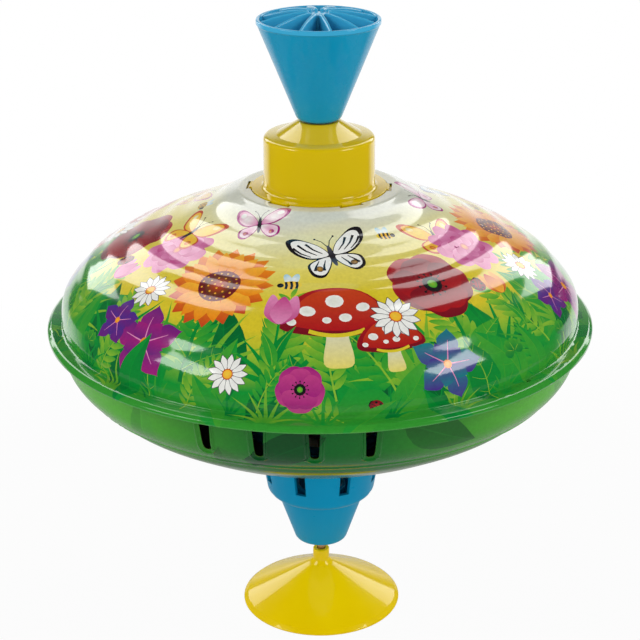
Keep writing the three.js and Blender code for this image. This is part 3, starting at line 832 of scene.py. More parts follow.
def bellflower(radius, throat, edge):
    """Flower of five long pointed petals with a second ring inside and pale lines."""
    patches = petals(5, 0.04, 0.98, 0.62, throat, edge, 0, 0.8)
    patches += petals(5, 0.04, 0.6, 0.4, edge, throat, 36, 0.8)
    patches += [strip([(0, 0), tip], 0.04, 0.012, PINK) for tip in ring(5, 0.66, 0.66, 0.25)]
    patches.append(dot(0, 0, 0.12, AMBER, ORANGE, 12))
    return moved(patches, size=radius)


def tulip(height, edge, heart):
    """Cup of three petals on a stem with two long leaves."""
    side = closed_curve([(0, 0), (-0.42, 0.22), (-0.48, 0.62), (-0.34, 1.02), (-0.1, 0.72)], 4)
    front = closed_curve([(0, -0.02), (-0.3, 0.3), (-0.22, 0.7), (0, 0.98), (0.22, 0.7), (0.3, 0.3)], 4)
    flower = [(side, heart, edge, "up"), ([(-x, y) for x, y in side], heart, edge, "up")]
    flower.append((front, edge, heart, "up"))
    patches = [strip(stalk(0.62, 0), 0.03, 0.03, DEEP, LEAF)]
    patches += leaf(0.56, 0.16, 0.2, LEAF, DEEP, LIME)
    patches += moved(leaf(0.48, 0.15, 0.2, GRASS, LEAF, LIME), mirror=-1)
    patches += moved(flower, y=0.58, size=0.42)
    return moved(patches, size=height)


def butterfly(size, wing, edge, spot):
    """Open wings in two tones with spots, a dark body and feelers."""
    upper = closed_curve([
        (0.03, 0.05), (0.25, 0.42), (0.66, 0.72), (0.95, 0.66), (0.92, 0.32), (0.6, 0.02), (0.2, -0.04),
    ], 4)
    lower = closed_curve([
        (0.03, 0.0), (0.4, -0.04), (0.68, -0.22), (0.66, -0.56), (0.4, -0.66), (0.14, -0.36),
    ], 4)
    half = [(lower, edge, edge, "up"), (upper, edge, edge, "up")]
    half += moved([(lower, wing, spot, "out")], x=0.04, y=-0.03, size=0.84)
    half += moved([(upper, spot, wing, "out")], x=0.04, y=0.04, size=0.84)
    half.append(oval(0.66, 0.47, 0.12, 0.1, WHITE, spot, 12))
    half.append(oval(0.43, -0.38, 0.09, 0.1, AMBER, edge, 12))
    half.append(strip([(0.02, 0.3), (0.1, 0.5), (0.22, 0.62)], 0.025, 0.02, COAL))
    half.append(dot(0.23, 0.63, 0.03, COAL, count=6))
    patches = half + moved(half, mirror=-1)
    patches.append(oval(0, -0.02, 0.07, 0.36, COAL, SLATE))
    return moved(patches, size=size)


def marbled(size):
    """White butterfly with black wing edges and bars."""
    bars = []
    for x0, y0, x1, y1 in ((0.2, 0.12, 0.5, 0.5), (0.34, 0.1, 0.7, 0.5), (0.5, 0.08, 0.84, 0.42),
                           (0.2, -0.1, 0.34, -0.46), (0.36, -0.1, 0.56, -0.42)):
        half = ((x0 + x1) / 2 + 0.03, (y0 + y1) / 2 - 0.02)
        bars.append(strip([(x0, y0), half, (x1, y1)], 0.02, 0.07, COAL))
    patches = butterfly(size, WHITE, COAL, WHITE)
    for side in (-1, 1):
        patches += moved(bars, size=size, mirror=side)
    return patches


def toadstool(height):
    """Red cap with cream dots on a cream stem."""
    cap = closed_curve([
        (-0.62, 0.42), (-0.56, 0.66), (-0.3, 0.92), (0, 1.0), (0.3, 0.92), (0.56, 0.66), (0.62, 0.42),
        (0.3, 0.34), (0, 0.32), (-0.3, 0.34),
    ], 4)
    stem = closed_curve([
        (-0.16, 0), (-0.12, 0.3), (-0.12, 0.48), (0.12, 0.48), (0.12, 0.3), (0.16, 0), (0, -0.05),
    ], 4)
    patches = [(stem, STRAW, CREAM, "up"), (cap, WINE, CRIMSON, "up")]
    patches += moved([(cap, CRIMSON, RUST, "up")], x=0.03, y=0.12, size=0.86)
    for x, y, radius in ((0, 0.8, 0.1), (-0.3, 0.66, 0.09), (0.3, 0.7, 0.075), (0.1, 0.56, 0.07),
                         (-0.1, 0.53, 0.05), (0.46, 0.52, 0.055), (-0.48, 0.5, 0.055)):
        patches.append(oval(x, y, radius, radius * 0.85, CREAM, WHITE, 12))
    gill = [(0.05 * i, 0.335 + 0.0016 * i * i) for i in range(-6, 7)]
    patches.append(strip(gill, 0.05, 0.05, OCHRE))
    return moved(patches, size=height)


def ladybird(size):
    """Red beetle with black head and spots, seen from above."""
    patches = [oval(0, 0.42, 0.3, 0.24, COAL, count=14), oval(0, 0, 0.5, 0.56, CRIMSON, WINE, 22)]
    patches.append(strip([(0, -0.55), (0, 0.5)], 0.05, 0.05, COAL))
    for x, y in ((0.26, 0.2), (0.28, -0.16), (0.16, -0.36)):
        patches += [oval(side * x, y, 0.09, 0.1, COAL, count=10) for side in (-1, 1)]
    return moved(patches, size=size)


def bee(size):
    """Striped body with two pale wings."""
    wing = [oval(0, 0, 0.2, 0.4, WHITE, SKY, 16)]
    patches = moved(wing, x=-0.12, y=0.42, turn=22) + moved(wing, x=0.2, y=0.4, turn=-24)
    patches.append(oval(0, 0, 0.55, 0.32, AMBER, YELLOW, 22))
    for x in (-0.24, 0.02, 0.28):
        tall = 0.3 * math.sqrt(1 - (x / 0.56) ** 2)
        patches.append(strip([(x, -tall), (x + 0.04, 0), (x, tall)], 0.13, 0.13, COAL))
    patches.append(dot(-0.5, 0.02, 0.17, COAL, count=12))
    return moved(patches, size=size)


def clover(size):
    """Three heart-shaped leaves on a stem."""
    heart = closed_curve([
        (0, 0), (-0.42, 0.3), (-0.4, 0.66), (-0.16, 0.78), (0, 0.66), (0.16, 0.78), (0.4, 0.66), (0.42, 0.3),
    ], 3)
    one = [(heart, DEEP, GRASS, "up"), strip([(0, 0.06), (0, 0.55)], 0.05, 0.02, LIME)]
    patches = [strip(stalk(1.2, 0), 0.07, 0.05, LEAF)]
    for turn in (-68, 68, 0):
        patches += moved(one, y=1.15, turn=turn, size=0.9)
    return moved(patches, size=size)


# The printed shells


class Print:
    """A print laid round a shell: places patches by angle and distance along the shell's path."""

    def __init__(self, profile, ground):
        self.profile = profile
        self.ground = ground
        self.patches = []
        self.holes = []

    def lay(self, patches, angle, s, turn=0.0, size=1.0, mirror=1.0):
        """Lays a motif with its foot at an angle in degrees and a distance from the path's start."""
        edge = math.pi * SHEET_RADIUS
        middle = math.radians(angle) * SHEET_RADIUS
        for outline, first, second, run in moved(patches, turn=turn, size=size, mirror=mirror):
            flat = np.array(outline)
            along = s - flat[:, 1]
            radius = self.profile.at(np.clip(along, 0, self.profile.length))[0]
            across = middle + flat[:, 0] / radius * SHEET_RADIUS
            if run == "up":
                blend = (float(flat[:, 1].min()), float(flat[:, 1].max()))
            else:
                centre = flat.mean(axis=0)
                blend = (centre, float(np.linalg.norm(flat - centre, axis=1).max()))
            for shift in (-2 * edge, 0, 2 * edge):
                if (across + shift).max() < -edge or (across + shift).min() > edge:
                    continue
                sheet = np.column_stack((across + shift, along))
                self.patches.append((sheet, first, second, run, blend, (middle + shift, s)))

    def cut(self, outline):
        """Leaves a hole in the shell inside the outline, given as across and along."""
        self.holes.append(np.array(outline))

    def colours(self, across, along, patch):
        """Colours of the points of one patch, or of the ground where patch is None."""
        if patch is None:
            return self.ground(across / SHEET_RADIUS, along)
        _, first, second, run, blend, place = patch
        radius = self.profile.at(along)[0]
        flat = np.column_stack(((across - place[0]) * radius / SHEET_RADIUS, place[1] - along))
        if run == "up":
            share = (flat[:, 1] - blend[0]) / max(blend[1] - blend[0], 1e-6)
        else:
            share = np.linalg.norm(flat - blend[0], axis=1) / blend[1]
        share = np.clip(share, 0, 1)[:, None]
        return np.array(first) * (1 - share) + np.array(second) * share


def inside_outline(points, outline):
    """Which of the points lie inside a closed outline."""
    x, y = points[:, 0], points[:, 1]
    inside = np.zeros(len(points), bool)
    for (x0, y0), (x1, y1) in zip(outline, np.roll(outline, -1, axis=0)):
        if y0 != y1:
            crosses = (y0 > y) != (y1 > y)
            inside ^= crosses & (x < (x1 - x0) * (y - y0) / (y1 - y0) + x0)
    return inside


def split_at_rows(outline, rows):
    """The outline with a further point wherever it crosses a row, so that it follows the folds."""
    points = []
    for (x0, s0), (x1, s1) in zip(outline.tolist(), np.roll(outline, -1, axis=0).tolist()):
        points.append((x0, s0))
        low_end, high_end = min(s0, s1) + 0.02, max(s0, s1) - 0.02
        first, last = np.searchsorted(rows, (low_end, high_end))
        crossed = rows[first:last] if s1 > s0 else rows[first:last][::-1]
        for row in crossed:
            points.append((x0 + (x1 - x0) * (row - s0) / (s1 - s0), float(row)))
    return points


def cut_sheet(art, rows, columns, extra):
    """Triangles of the flat sheet, cut along the outlines of the print, and the patch each one shows."""
    half = math.pi * SHEET_RADIUS
    length = art.profile.length
    points = [(-half + 2 * half * i / columns, s) for s in rows for i in range(columns + 1)]
    border = [0, columns, len(rows) * (columns + 1) - 1, (len(rows) - 1) * (columns + 1)]
    edges = [(border[k], border[(k + 1) % 4]) for k in range(4)]
    points += [point for point in extra if -half < point[0] < half and 0 < point[1] < length]
    faces = []
    outlines = [patch[0] for patch in art.patches] + art.holes
    for outline in outlines:
        loop = split_at_rows(outline, np.array(rows))
        ahead = np.roll(outline, -1, axis=0)
        if np.sum(outline[:, 0] * ahead[:, 1] - ahead[:, 0] * outline[:, 1]) < 0:
            loop.reverse()
        faces.append(list(range(len(points), len(points) + len(loop))))
        points += loop
    vectors = [Vector(point) for point in points]
    verts, _, tris, _, _, sources = delaunay_2d_cdt(vectors, edges, faces, 0, 1e-4, True)
    flat = np.array([tuple(vert) for vert in verts])
    tris = np.array([tuple(tri) for tri in tris])
    corners = flat[tris]
    middles = corners.mean(axis=1)
    members = {}
    for i, source in enumerate(sources):
        for face in source:
            members.setdefault(face, []).append(i)
    owners = np.full(len(tris), -1)
    for face in sorted(members):
        chosen = np.array(members[face])
        owners[chosen[inside_outline(middles[chosen], outlines[face])]] = face
    across, down = corners[:, 1] - corners[:, 0], corners[:, 2] - corners[:, 0]
    area = np.abs(across[:, 0] * down[:, 1] - across[:, 1] * down[:, 0])
    kept = (area > 1e-7) & (np.abs(middles[:, 0]) < half) & (middles[:, 1] > 0) & (middles[:, 1] < length)
    kept &= owners < len(art.patches)
    return flat, tris[kept], owners[kept]


def shell_mesh(name, art, surface, rows, columns, tin, extra=()):
    """The mesh of a printed shell: its printed side, its inner side and its rims.

    extra holds further points of the flat sheet, where the surface needs more of them."""
    half = math.pi * SHEET_RADIUS
    length = art.profile.length
    flat, tris, owners = cut_sheet(art, rows, columns, extra)
    corner_colours = np.empty((len(tris), 3, 3))
    for owner in np.unique(owners):
        chosen = owners == owner
        corners = flat[tris[chosen].ravel()]
        patch = None if owner < 0 else art.patches[owner]
        tone = art.colours(corners[:, 0], np.clip(corners[:, 1], 0, length), patch)
        corner_colours[chosen] = tone.reshape(-1, 3, 3)
    wrapped = flat[tris]
    # The two edges of the flat sheet meet at the back
    flat[:, 0] = np.where(np.abs(flat[:, 0] - half) < 1e-4, -half, flat[:, 0])
    _, first_index, merged = np.unique(np.round(flat, 4), axis=0, return_index=True, return_inverse=True)
    tris = merged.ravel()[tris]
    whole = (tris != np.roll(tris, 1, axis=1)).all(axis=1)
    corner_colours, wrapped = corner_colours[whole], wrapped[whole]
    used, places = np.unique(tris[whole], return_inverse=True)
    flat, tris = flat[first_index][used], places.reshape(-1, 3)
    turn, s = flat[:, 0] / SHEET_RADIUS, flat[:, 1]
    place = surface(turn, s)
    step = 0.03
    around_step = surface(turn + step / SHEET_RADIUS, s) - surface(turn - step / SHEET_RADIUS, s)
    along_step = surface(turn, np.maximum(s - step, 0)) - surface(turn, np.minimum(s + step, length))
    normal = np.cross(around_step, along_step) * art.profile.outward
    normal /= np.linalg.norm(normal, axis=1)[:, None]
    a, b, c = (place[tris[:, k]] for k in range(3))
    flip = np.einsum('ij,ij->i', np.cross(b - a, c - a), normal[tris].mean(axis=1)) < 0
    for array in (tris, corner_colours, wrapped):
        array[flip] = array[flip][:, ::-1]
    count = len(place)
    inner = place - normal * tin
    starts, ends = tris.ravel(), tris[:, [1, 2, 0]].ravel()
    forward = set(zip(starts.tolist(), ends.tolist()))
    rim = [(i, j) for i, j in forward if (j, i) not in forward]
    all_faces = tris.tolist() + (tris[:, ::-1] + count).tolist()
    all_faces += [(j, i, i + count, j + count) for i, j in rim]
    mesh = bpy.data.meshes.new(name)
    mesh.from_pydata((np.vstack((place, inner)) * MM).tolist(), [], all_faces)
    mesh.polygons.foreach_set("use_smooth", [True] * len(all_faces))
    side = np.zeros(len(all_faces), int)
    side[len(tris):2 * len(tris)] = 1
    mesh.polygons.foreach_set("material_index", side)
    rim_loops = 4 * len(rim)
    tones = np.ones((6 * len(tris) + rim_loops, 4))
    tones[:, :3] = corner_colours.mean(axis=(0, 1))
    tones[:3 * len(tris), :3] = corner_colours.reshape(-1, 3)
    attribute = mesh.color_attributes.new("print", 'FLOAT_COLOR', 'CORNER')
    attribute.data.foreach_set("color", tones.ravel())
    # A round map of the shell, with its inner side in a corner
    spread = 0.49 * (wrapped[:, :, 1] + 4) / (length + 4)
    angle = wrapped[:, :, 0] / SHEET_RADIUS
    outer_uv = np.stack((0.5 + spread * np.sin(angle), 0.5 - spread * np.cos(angle)), axis=2)
    inner_uv = 0.93 + (outer_uv[:, ::-1] - 0.5) * 0.12
    maps = np.vstack((outer_uv.reshape(-1, 2), inner_uv.reshape(-1, 2), np.full((rim_loops, 2), 0.93)))
    mesh.uv_layers.new(name="OFBake").data.foreach_set("uv", maps.ravel())
    mesh.update()
    corner_normals = np.vstack((
        normal[tris.ravel()], -normal[tris[:, ::-1].ravel()], np.zeros((rim_loops, 3)),
    ))
    mesh.normals_split_custom_set(corner_normals.tolist())
    return mesh


def swell(distance, width):
    """Height of a soft swelling at a distance from its middle, 1 at the middle."""
    return np.exp(-(distance / width) ** 2)


def dome_profile():
    """Path of the dome from its hole over the bulge to the inner end of the folded hem."""
    edge = SEAM_LEVEL - SEAM_DROP
    dome = smooth_path([(BODY_RADIUS * a, SEAM_LEVEL + DOME_HEIGHT * b) for a, b in DOME_SHARES], 12)
    # The rounded edge at the hole and the hem take the place of the curve's first and last points
    start = rounded_path([(23.54, DOME_TOP, 0), (27.5, DOME_TOP, 2.4), (*dome[6], 0)], 8)
    tail = rounded_path([
        (*dome[-3], 0),
        (BODY_RADIUS - 0.4, SEAM_LEVEL + 0.4, 0.8),
        (FOLD_RADIUS, SEAM_LEVEL + 0.15, 0.4),
        (FLANGE_RADIUS - 1.3, SEAM_LEVEL - 0.3, 1.2),
        (FLANGE_RADIUS, edge, 0.5),
        (FLANGE_RADIUS, edge - HEM_THICKNESS, 0.55),
        (FLANGE_RADIUS - 2.7, edge - HEM_THICKNESS + 0.85, 0),
    ], 8)
    return Profile(start[:-1] + dome[6:-3] + tail, 1)


def bowl_profile():
    """Path of the bowl from its hole up to the end of its flange inside the hem."""
    wall = smooth_path([(BODY_RADIUS * a, SEAM_LEVEL - BOWL_DEPTH * b) for a, b in BOWL_SHARES], 12)
    # The rounded edge at the hole and the flange take the place of the curve's first and last points
    start = rounded_path([(23.8, BOWL_BOTTOM, 0), (*wall[0], 3.0), (*wall[8], 0)], 8)
    slope = SEAM_DROP / (FLANGE_RADIUS - FOLD_RADIUS)

    def under_seam(radius):
        return radius, SEAM_LEVEL - (radius - FOLD_RADIUS) * slope - 0.85

    tail = rounded_path([
        (*wall[-1], 0),
        (BODY_RADIUS + 1.0, under_seam(BODY_RADIUS + 1)[1] - 1, 1.0),
        (*under_seam(BODY_RADIUS + 1.5), 0.8),
        (*under_seam(FLANGE_RADIUS - 0.65), 0),
    ], 6)
    return Profile(start[:-1] + wall[8:-1] + tail, -1)


def turned_surface(profile, lift):
    """Surface of a shell: places in millimetres from angle and distance, lifted along the normal."""
    step = 0.02

    def surface(turn, s):
        radius, height = profile.at(s)
        ahead = profile.at(np.minimum(s + step, profile.length))
        back = profile.at(np.maximum(s - step, 0))
        across, up = ahead[0] - back[0], ahead[1] - back[1]
        size = np.hypot(across, up)
        raised = lift(turn, s)
        radius = radius - raised * profile.outward * up / size
        height = height + raised * profile.outward * across / size
        return np.column_stack((radius * np.sin(turn), -radius * np.cos(turn), height))

    return surface


def dome_ground(turn, s):
    """Cream at the top, through straw and ochre, to greens at the seam."""
    stops = [
        (0, CREAM), (8, CREAM), (17, CHALK), (30, STRAW), (44, OCHRE), (56, OCHRE),
        (66, LIME), (76, LEAF), (86, MEADOW), (110, MEADOW),
    ]
    wave = 2.0 * np.sin(3 * turn) + 1.2 * np.sin(7 * turn + 1) + np.sin(0.6 * s + 4 * np.sin(2 * turn))
    return blend_stops(stops, s + wave * np.clip(s / 20, 0, 1))


def bowl_ground(turn, s):
    """Leaf greens, turning olive towards the cup."""
    olive, moss, green = ink(98, 106, 24), ink(76, 122, 36), ink(84, 174, 46)
    light = blend_stops([(0, olive), (46, olive), (56, moss), (66, green)], s)
    deep = blend_stops([(0, olive), (44, olive), (54, ink(50, 98, 30)), (64, ink(4, 100, 34))], s)
    share = (0.5 + 0.5 * np.cos(3 * turn))[:, None]
    return light * (1 - share) + deep * share


def blend_stops(stops, s):
    """Colours at the distances s, blended between (distance, colour) stops."""
    places = [stop[0] for stop in stops]
    return np.column_stack([np.interp(s, places, [stop[1][k] for stop in stops]) for k in range(3)])


def lay_meadow(art):
    """The dome's print: flowers, toadstools and butterflies in a meadow that runs right round."""
    dice = random.Random(11)

    def scatter(count, start, s, spread, make, lean=0):
        """Lays count motifs evenly round the dome, each a little off its place and leaning."""
        for i in range(count):
            angle = start + 360 * i / count + dice.uniform(-spread, spread)
            turn = dice.uniform(-lean, lean)
            art.lay(make(i), angle, s + dice.uniform(-2, 2), turn=turn)

    deep, fresh, light = (DEEP, LEAF), (LEAF, GRASS), (GRASS, LIME)
    # Leaves and grass behind the flowers
    scatter(30, 4, 80, 4, lambda i: leaf(
        dice.uniform(26, 38), dice.uniform(11, 15), dice.uniform(-7, 7), *(deep, (PINE, DEEP), fresh)[i % 3],
        (LEAF, DEEP, LIME)[i % 3], 5), lean=34)
    scatter(24, 9, 76, 4, lambda i: tuft(9, dice.uniform(20, 30), 50, *(fresh, light, deep)[i % 3]))
    scatter(21, 2, 78, 5, lambda i: vetch(
        dice.uniform(26, 36), 9, dice.uniform(-9, 9), *(light, fresh, (LIME, GRASS))[i % 3], LIME), lean=26)
    stem = [strip(stalk(36, 3), 1.5, 1.1, DEEP, LEAF)]
    stem += moved(leaf(19, 8, 4, LEAF, GRASS, LIME, 4), x=0.3, y=8, turn=-48)
    stem += moved(leaf(17, 7.5, -4, DEEP, LEAF, LIME, 4), x=0.2, y=4, turn=46)
    sun, toad = sunflower(17.5), toadstool(29)
    whites = (marbled(13.5), butterfly(12.5, SKY, VIOLET, WHITE), butterfly(12.5, STRAW, ROSE, AMBER))
    for k in range(3):
        shift = k * 120
        art.lay(stem, shift - 29, 78, mirror=-1)
        art.lay(sun, shift - 31, 42 - 2 * (k == 1))
        art.lay(stem, shift + 33, 80)
        art.lay(poppy(14, CRIMSON, WINE), shift + 34.5, 43)
        art.lay(peony(12.5, PINK, ROSE), shift - 59, 34)
        art.lay(toad, shift + 4, 68)
        art.lay(toad, shift + 16, 71, size=0.6)
        art.lay(tulip(27, (PINK, AMBER, ROSE)[k], (ROSE, RUST, MAGENTA)[k]), shift - 10, 70)
        art.lay(tulip(22, (AMBER, ROSE, PINK)[k], (RUST, MAGENTA, ROSE)[k]), shift + 52, 68, turn=-6)
        art.lay(whites[k], shift + 5, 24, turn=14 - 9 * k)
        art.lay(butterfly(12, AMBER, RUST, YELLOW), shift + 55, 26, turn=-18 + 12 * k)
        art.lay(butterfly(10, PINK, MAGENTA, WHITE), shift - 34, 12.5, turn=24)
        art.lay(bee(6.5), shift - 9, 38, turn=8)
        art.lay(bee(5.5), shift + 32, 18, turn=-12, mirror=-1)
        art.lay(daisy(8), shift + 19, 53)
        art.lay(daisy(7), shift - 50, 52)
        art.lay(ladybird(5.5), shift + 48, 49, turn=-40)
    # Leaves and grass in front of their stems
    scatter(30, 0, 87, 3, lambda i: leaf(
        dice.uniform(19, 28), dice.uniform(9, 13), dice.uniform(-5, 5), *(deep, fresh, (PINE, DEEP))[i % 3],
        (LIME, GRASS, LEAF)[i % 3], 4), lean=60)
    scatter(18, 8, 86, 4, lambda i: vetch(
        dice.uniform(17, 24), 8, dice.uniform(-6, 6), *(light, (LIME, GRASS), fresh)[i % 3], LIME), lean=50)
    scatter(30, 3, 88, 3, lambda i: tuft(7, dice.uniform(11, 17), 48, *(fresh, deep, light)[i % 3]))
    for k in range(3):
        shift = k * 120
        art.lay(bellflower(13.5, MAGENTA, PLUM), shift - 41, 69, turn=12)
        art.lay(bellflower(12, VIOLET, TEAL), shift + 27, 72, turn=-20)
        art.lay(bellflower(9, PLUM, VIOLET), shift + 68, 66, turn=4)
        art.lay(poppy(7.5, MAGENTA, ROSE), shift - 4, 76)
        art.lay(daisy(6.5), shift - 19, 73)
        art.lay(clover(6), shift + 45, 81, turn=8)
        art.lay(clover(5), shift - 58, 82, turn=-10)
        art.lay(ladybird(4.2), shift + 11, 82, turn=60)
    # Broad plain leaves that run over the flange of the seam
    scatter(15, 6, 95, 4, lambda i: leaf(
        dice.uniform(20, 28), dice.uniform(7, 10), dice.uniform(-4, 4), *(fresh, deep)[i % 2],
        (GRASS, LEAF)[i % 2]), lean=74)


def lay_bowl_leaves(art):
    """The bowl's print: large faint leaves in greens."""
    dice = random.Random(5)
    deep, light = np.array(ink(2, 70, 26)), np.array(ink(70, 156, 44))
    for i in range(18):
        angle = i * 20 + dice.uniform(-4, 4)
        share = 0.5 + 0.5 * math.cos(math.radians(3 * angle))
        tone = light * (1 - share) + deep * share
        length, width, bend = dice.uniform(24, 36), dice.uniform(10, 14), dice.uniform(-5, 5)
        one = leaf(length, width, bend, tone, tone * 1.3, tone * 1.4)
        art.lay(one, angle, dice.uniform(66, 88), turn=dice.uniform(-80, 80))


def half_turn(angle):
    """The same angle in degrees, brought to between -180 and 180."""
    return (angle + 180) % 360 - 180


def louvre_angles():
    """Angles of the louvres in radians, in like groups round the bowl."""
    angles = []
    for group in range(LOUVRE_GROUPS):
        for i in range(LOUVRES_PER_GROUP):
            place = LOUVRE_ANGLE + group * 360 / LOUVRE_GROUPS
            angles.append(math.radians(half_turn(place + (i - (LOUVRES_PER_GROUP - 1) / 2) * LOUVRE_PITCH)))
    return angles


class TOP_OT_dome(Operator):
    """Make the printed upper shell with its pressed rings, lug notches and folded hem"""

    bl_idname = "top.dome"
    bl_label = "Printed Dome"

    def execute(self, context):
        sizes = context.scene.top_sizes
        profile = dome_profile()
        rise = sizes.ring_height / MM

        def lift(turn, s):
            rings = np.clip((s - FIRST_RING) / RING_PITCH, -0.5, RINGS - 0.5)
            return rise * (0.5 + 0.5 * np.cos(math.tau * rings))

        art = Print(profile, dome_ground)
        lay_meadow(art)
        half_angle = math.degrees(NOTCH_HALF_WIDTH / LUG_RADIUS)
        for i in range(LUGS):
            middle = half_turn(LUG_ANGLE + 360 * i / LUGS)
            left, right = [math.radians(middle + side * half_angle) * SHEET_RADIUS for side in (-1, 1)]
            art.cut([(left, -1), (right, -1), (right, NOTCH_DEPTH), (left, NOTCH_DEPTH)])
        surface = turned_surface(profile, lift)
        tuck = profile.distance_at_height(SEAM_LEVEL + 4)
        rows = profile.rows(sizes.print_pitch / MM, FINE_PITCH, [(0, 1.9), (tuck, profile.length)])
        mesh = shell_mesh("printed_dome", art, surface, rows, sizes.print_columns, sizes.tin / MM)
        materials = [printed_tin("varnished print", 1.0), bare_tin("bare tin")]
        new_piece("printed_dome", mesh, materials, "top_body", "upper_shell")
        return {'FINISHED'}


class TOP_OT_bowl(Operator):
    """Make the printed lower shell with its louvres and crease"""

    bl_idname = "top.bowl"
    bl_label = "Printed Bowl"

    def execute(self, context):
        sizes = context.scene.top_sizes
        profile = bowl_profile()
        crease = profile.distance_at_radius(CREASE_RADIUS)
        top, bottom = profile.distance_at_height(LOUVRE_TOP), profile.distance_at_height(LOUVRE_BOTTOM)
        half = sizes.louvre_width / MM / 2
        tip = sizes.louvre_tip / MM / 2
        lip = sizes.louvre_lip / MM
        angles = louvre_angles()
        straight = bottom + tip

        def slot_half(s):
            return tip + (half - tip) * np.clip((s - straight) / (top - straight), 0, 1)

        def lift(turn, s):
            raised = CREASE_HEIGHT * swell(s - crease, 0.7) - CREASE_DIP * swell(s - crease + 3.2, 1.8)
            radius = profile.at(s)[0]
            for angle in angles:
                apart = (turn - angle + math.pi) % math.tau - math.pi
                beyond = np.maximum(0, np.maximum(straight - s, s - top))
                gap = np.hypot(apart * radius, beyond) - slot_half(s)
                raised = raised + lip * swell(gap - 1.15, 0.32) - lip * 0.8 * swell(gap, 0.6)
            return raised

        art = Print(profile, bowl_ground)
        lay_bowl_leaves(art)
        sides = [straight + (top - straight) * k / 16 for k in range(1, 17)]
        radius = float(profile.at(top)[0])
        lips = []
        for angle in angles:
            # The slot itself, and rings of points round it that carry its lip
            for gap in (0.0, *LIP_GAPS):
                outline = []
                for k in range(9):
                    turn = math.pi + math.pi * k / 8
                    outline.append(((tip + gap) * math.cos(turn), straight + (tip + gap) * math.sin(turn)))
                outline += [(float(slot_half(s)) + gap, s) for s in sides]
                outline += [(-float(slot_half(s)) - gap, s) for s in reversed(sides)]
                outline = [((angle + x / radius) * SHEET_RADIUS, s) for x, s in outline]
                if gap == 0:
                    art.cut(outline)
                else:
                    lips += outline
        surface = turned_surface(profile, lift)
        seam = profile.distance_at_height(SEAM_LEVEL - 4)
        folds = [(crease - 4, crease + 2), (seam, profile.length)]
        rows = profile.rows(sizes.print_pitch / MM, FINE_PITCH, folds)
        mesh = shell_mesh("printed_bowl", art, surface, rows, sizes.print_columns, sizes.tin / MM, lips)
        materials = [printed_tin("varnished greens", 0.3), bare_tin("bare tin of the bowl")]
        new_piece("printed_bowl", mesh, materials, "top_body", "lower_shell")
        return {'FINISHED'}


class TOP_OT_collar(Operator):
    """Make the yellow collar with its lugs"""

    bl_idname = "top.collar"
    bl_label = "Collar"

    def execute(self, context):
        sizes, colours = context.scene.top_sizes, context.scene.top_colours
        shoulder = DOME_TOP + 18.2
        wall = 18.95
        lip_top = DOME_TOP - 0.65
        path = rounded_path([
            (17.15, COLLAR_BOTTOM, 0.2),
            (26.94, COLLAR_BOTTOM, 0.3),
            (26.94, lip_top, 0.3),
            (23.24, lip_top, 0.1),
            (23.24, COLLAR_FLANGE_TOP, 0.25),
            (wall + 0.12, COLLAR_FLANGE_TOP + 0.15, 1.3),
            (wall, shoulder + 0.1, 1.7),
            (14.5, shoulder + 0.6, 0.35),
            (7.1, COLLAR_TOP, 0.5),
            (5.6, COLLAR_TOP, 0.2),
            (5.6, COLLAR_TOP - 3.4, 0),
            (8.3, COLLAR_TOP - 3.4, 0),
            (14.0, shoulder - 1.3, 0),
            (15.65, shoulder - 1.9, 0.4),
            (15.65, DOME_TOP + 4.7, 0),
            (17.15, DOME_TOP + 4.7, 0),
        ])
        bm = bmesh.new()
        add_turned(bm, path, even_angles(sizes.facets))
        half_angle = math.degrees(LUG_HALF_WIDTH / LUG_RADIUS)
        for i in range(LUGS):
            middle = LUG_ANGLE + 360 * i / LUGS
            sections = []
            for k in range(9):
                angle = middle + half_angle * (k / 4 - 1)
                sections.append([
                    around(angle, radius, level) for radius, level in (
                        (22.6, COLLAR_FLANGE_TOP - 0.9), (23.95, COLLAR_FLANGE_TOP - 0.9),
                        (23.99, COLLAR_FLANGE_TOP - 0.2), (23.85, COLLAR_FLANGE_TOP - 0.05),
                        (22.6, COLLAR_FLANGE_TOP - 0.03))
                ])
            add_loft(bm, sections)
        mesh = to_mesh(bm, "moulded_collar")
        material = moulded_plastic("lemon plastic", tuple(colours.collar), 0.18, 1.0)
        new_piece("moulded_collar", mesh, [material], "top_body", "collar")
        return {'FINISHED'}


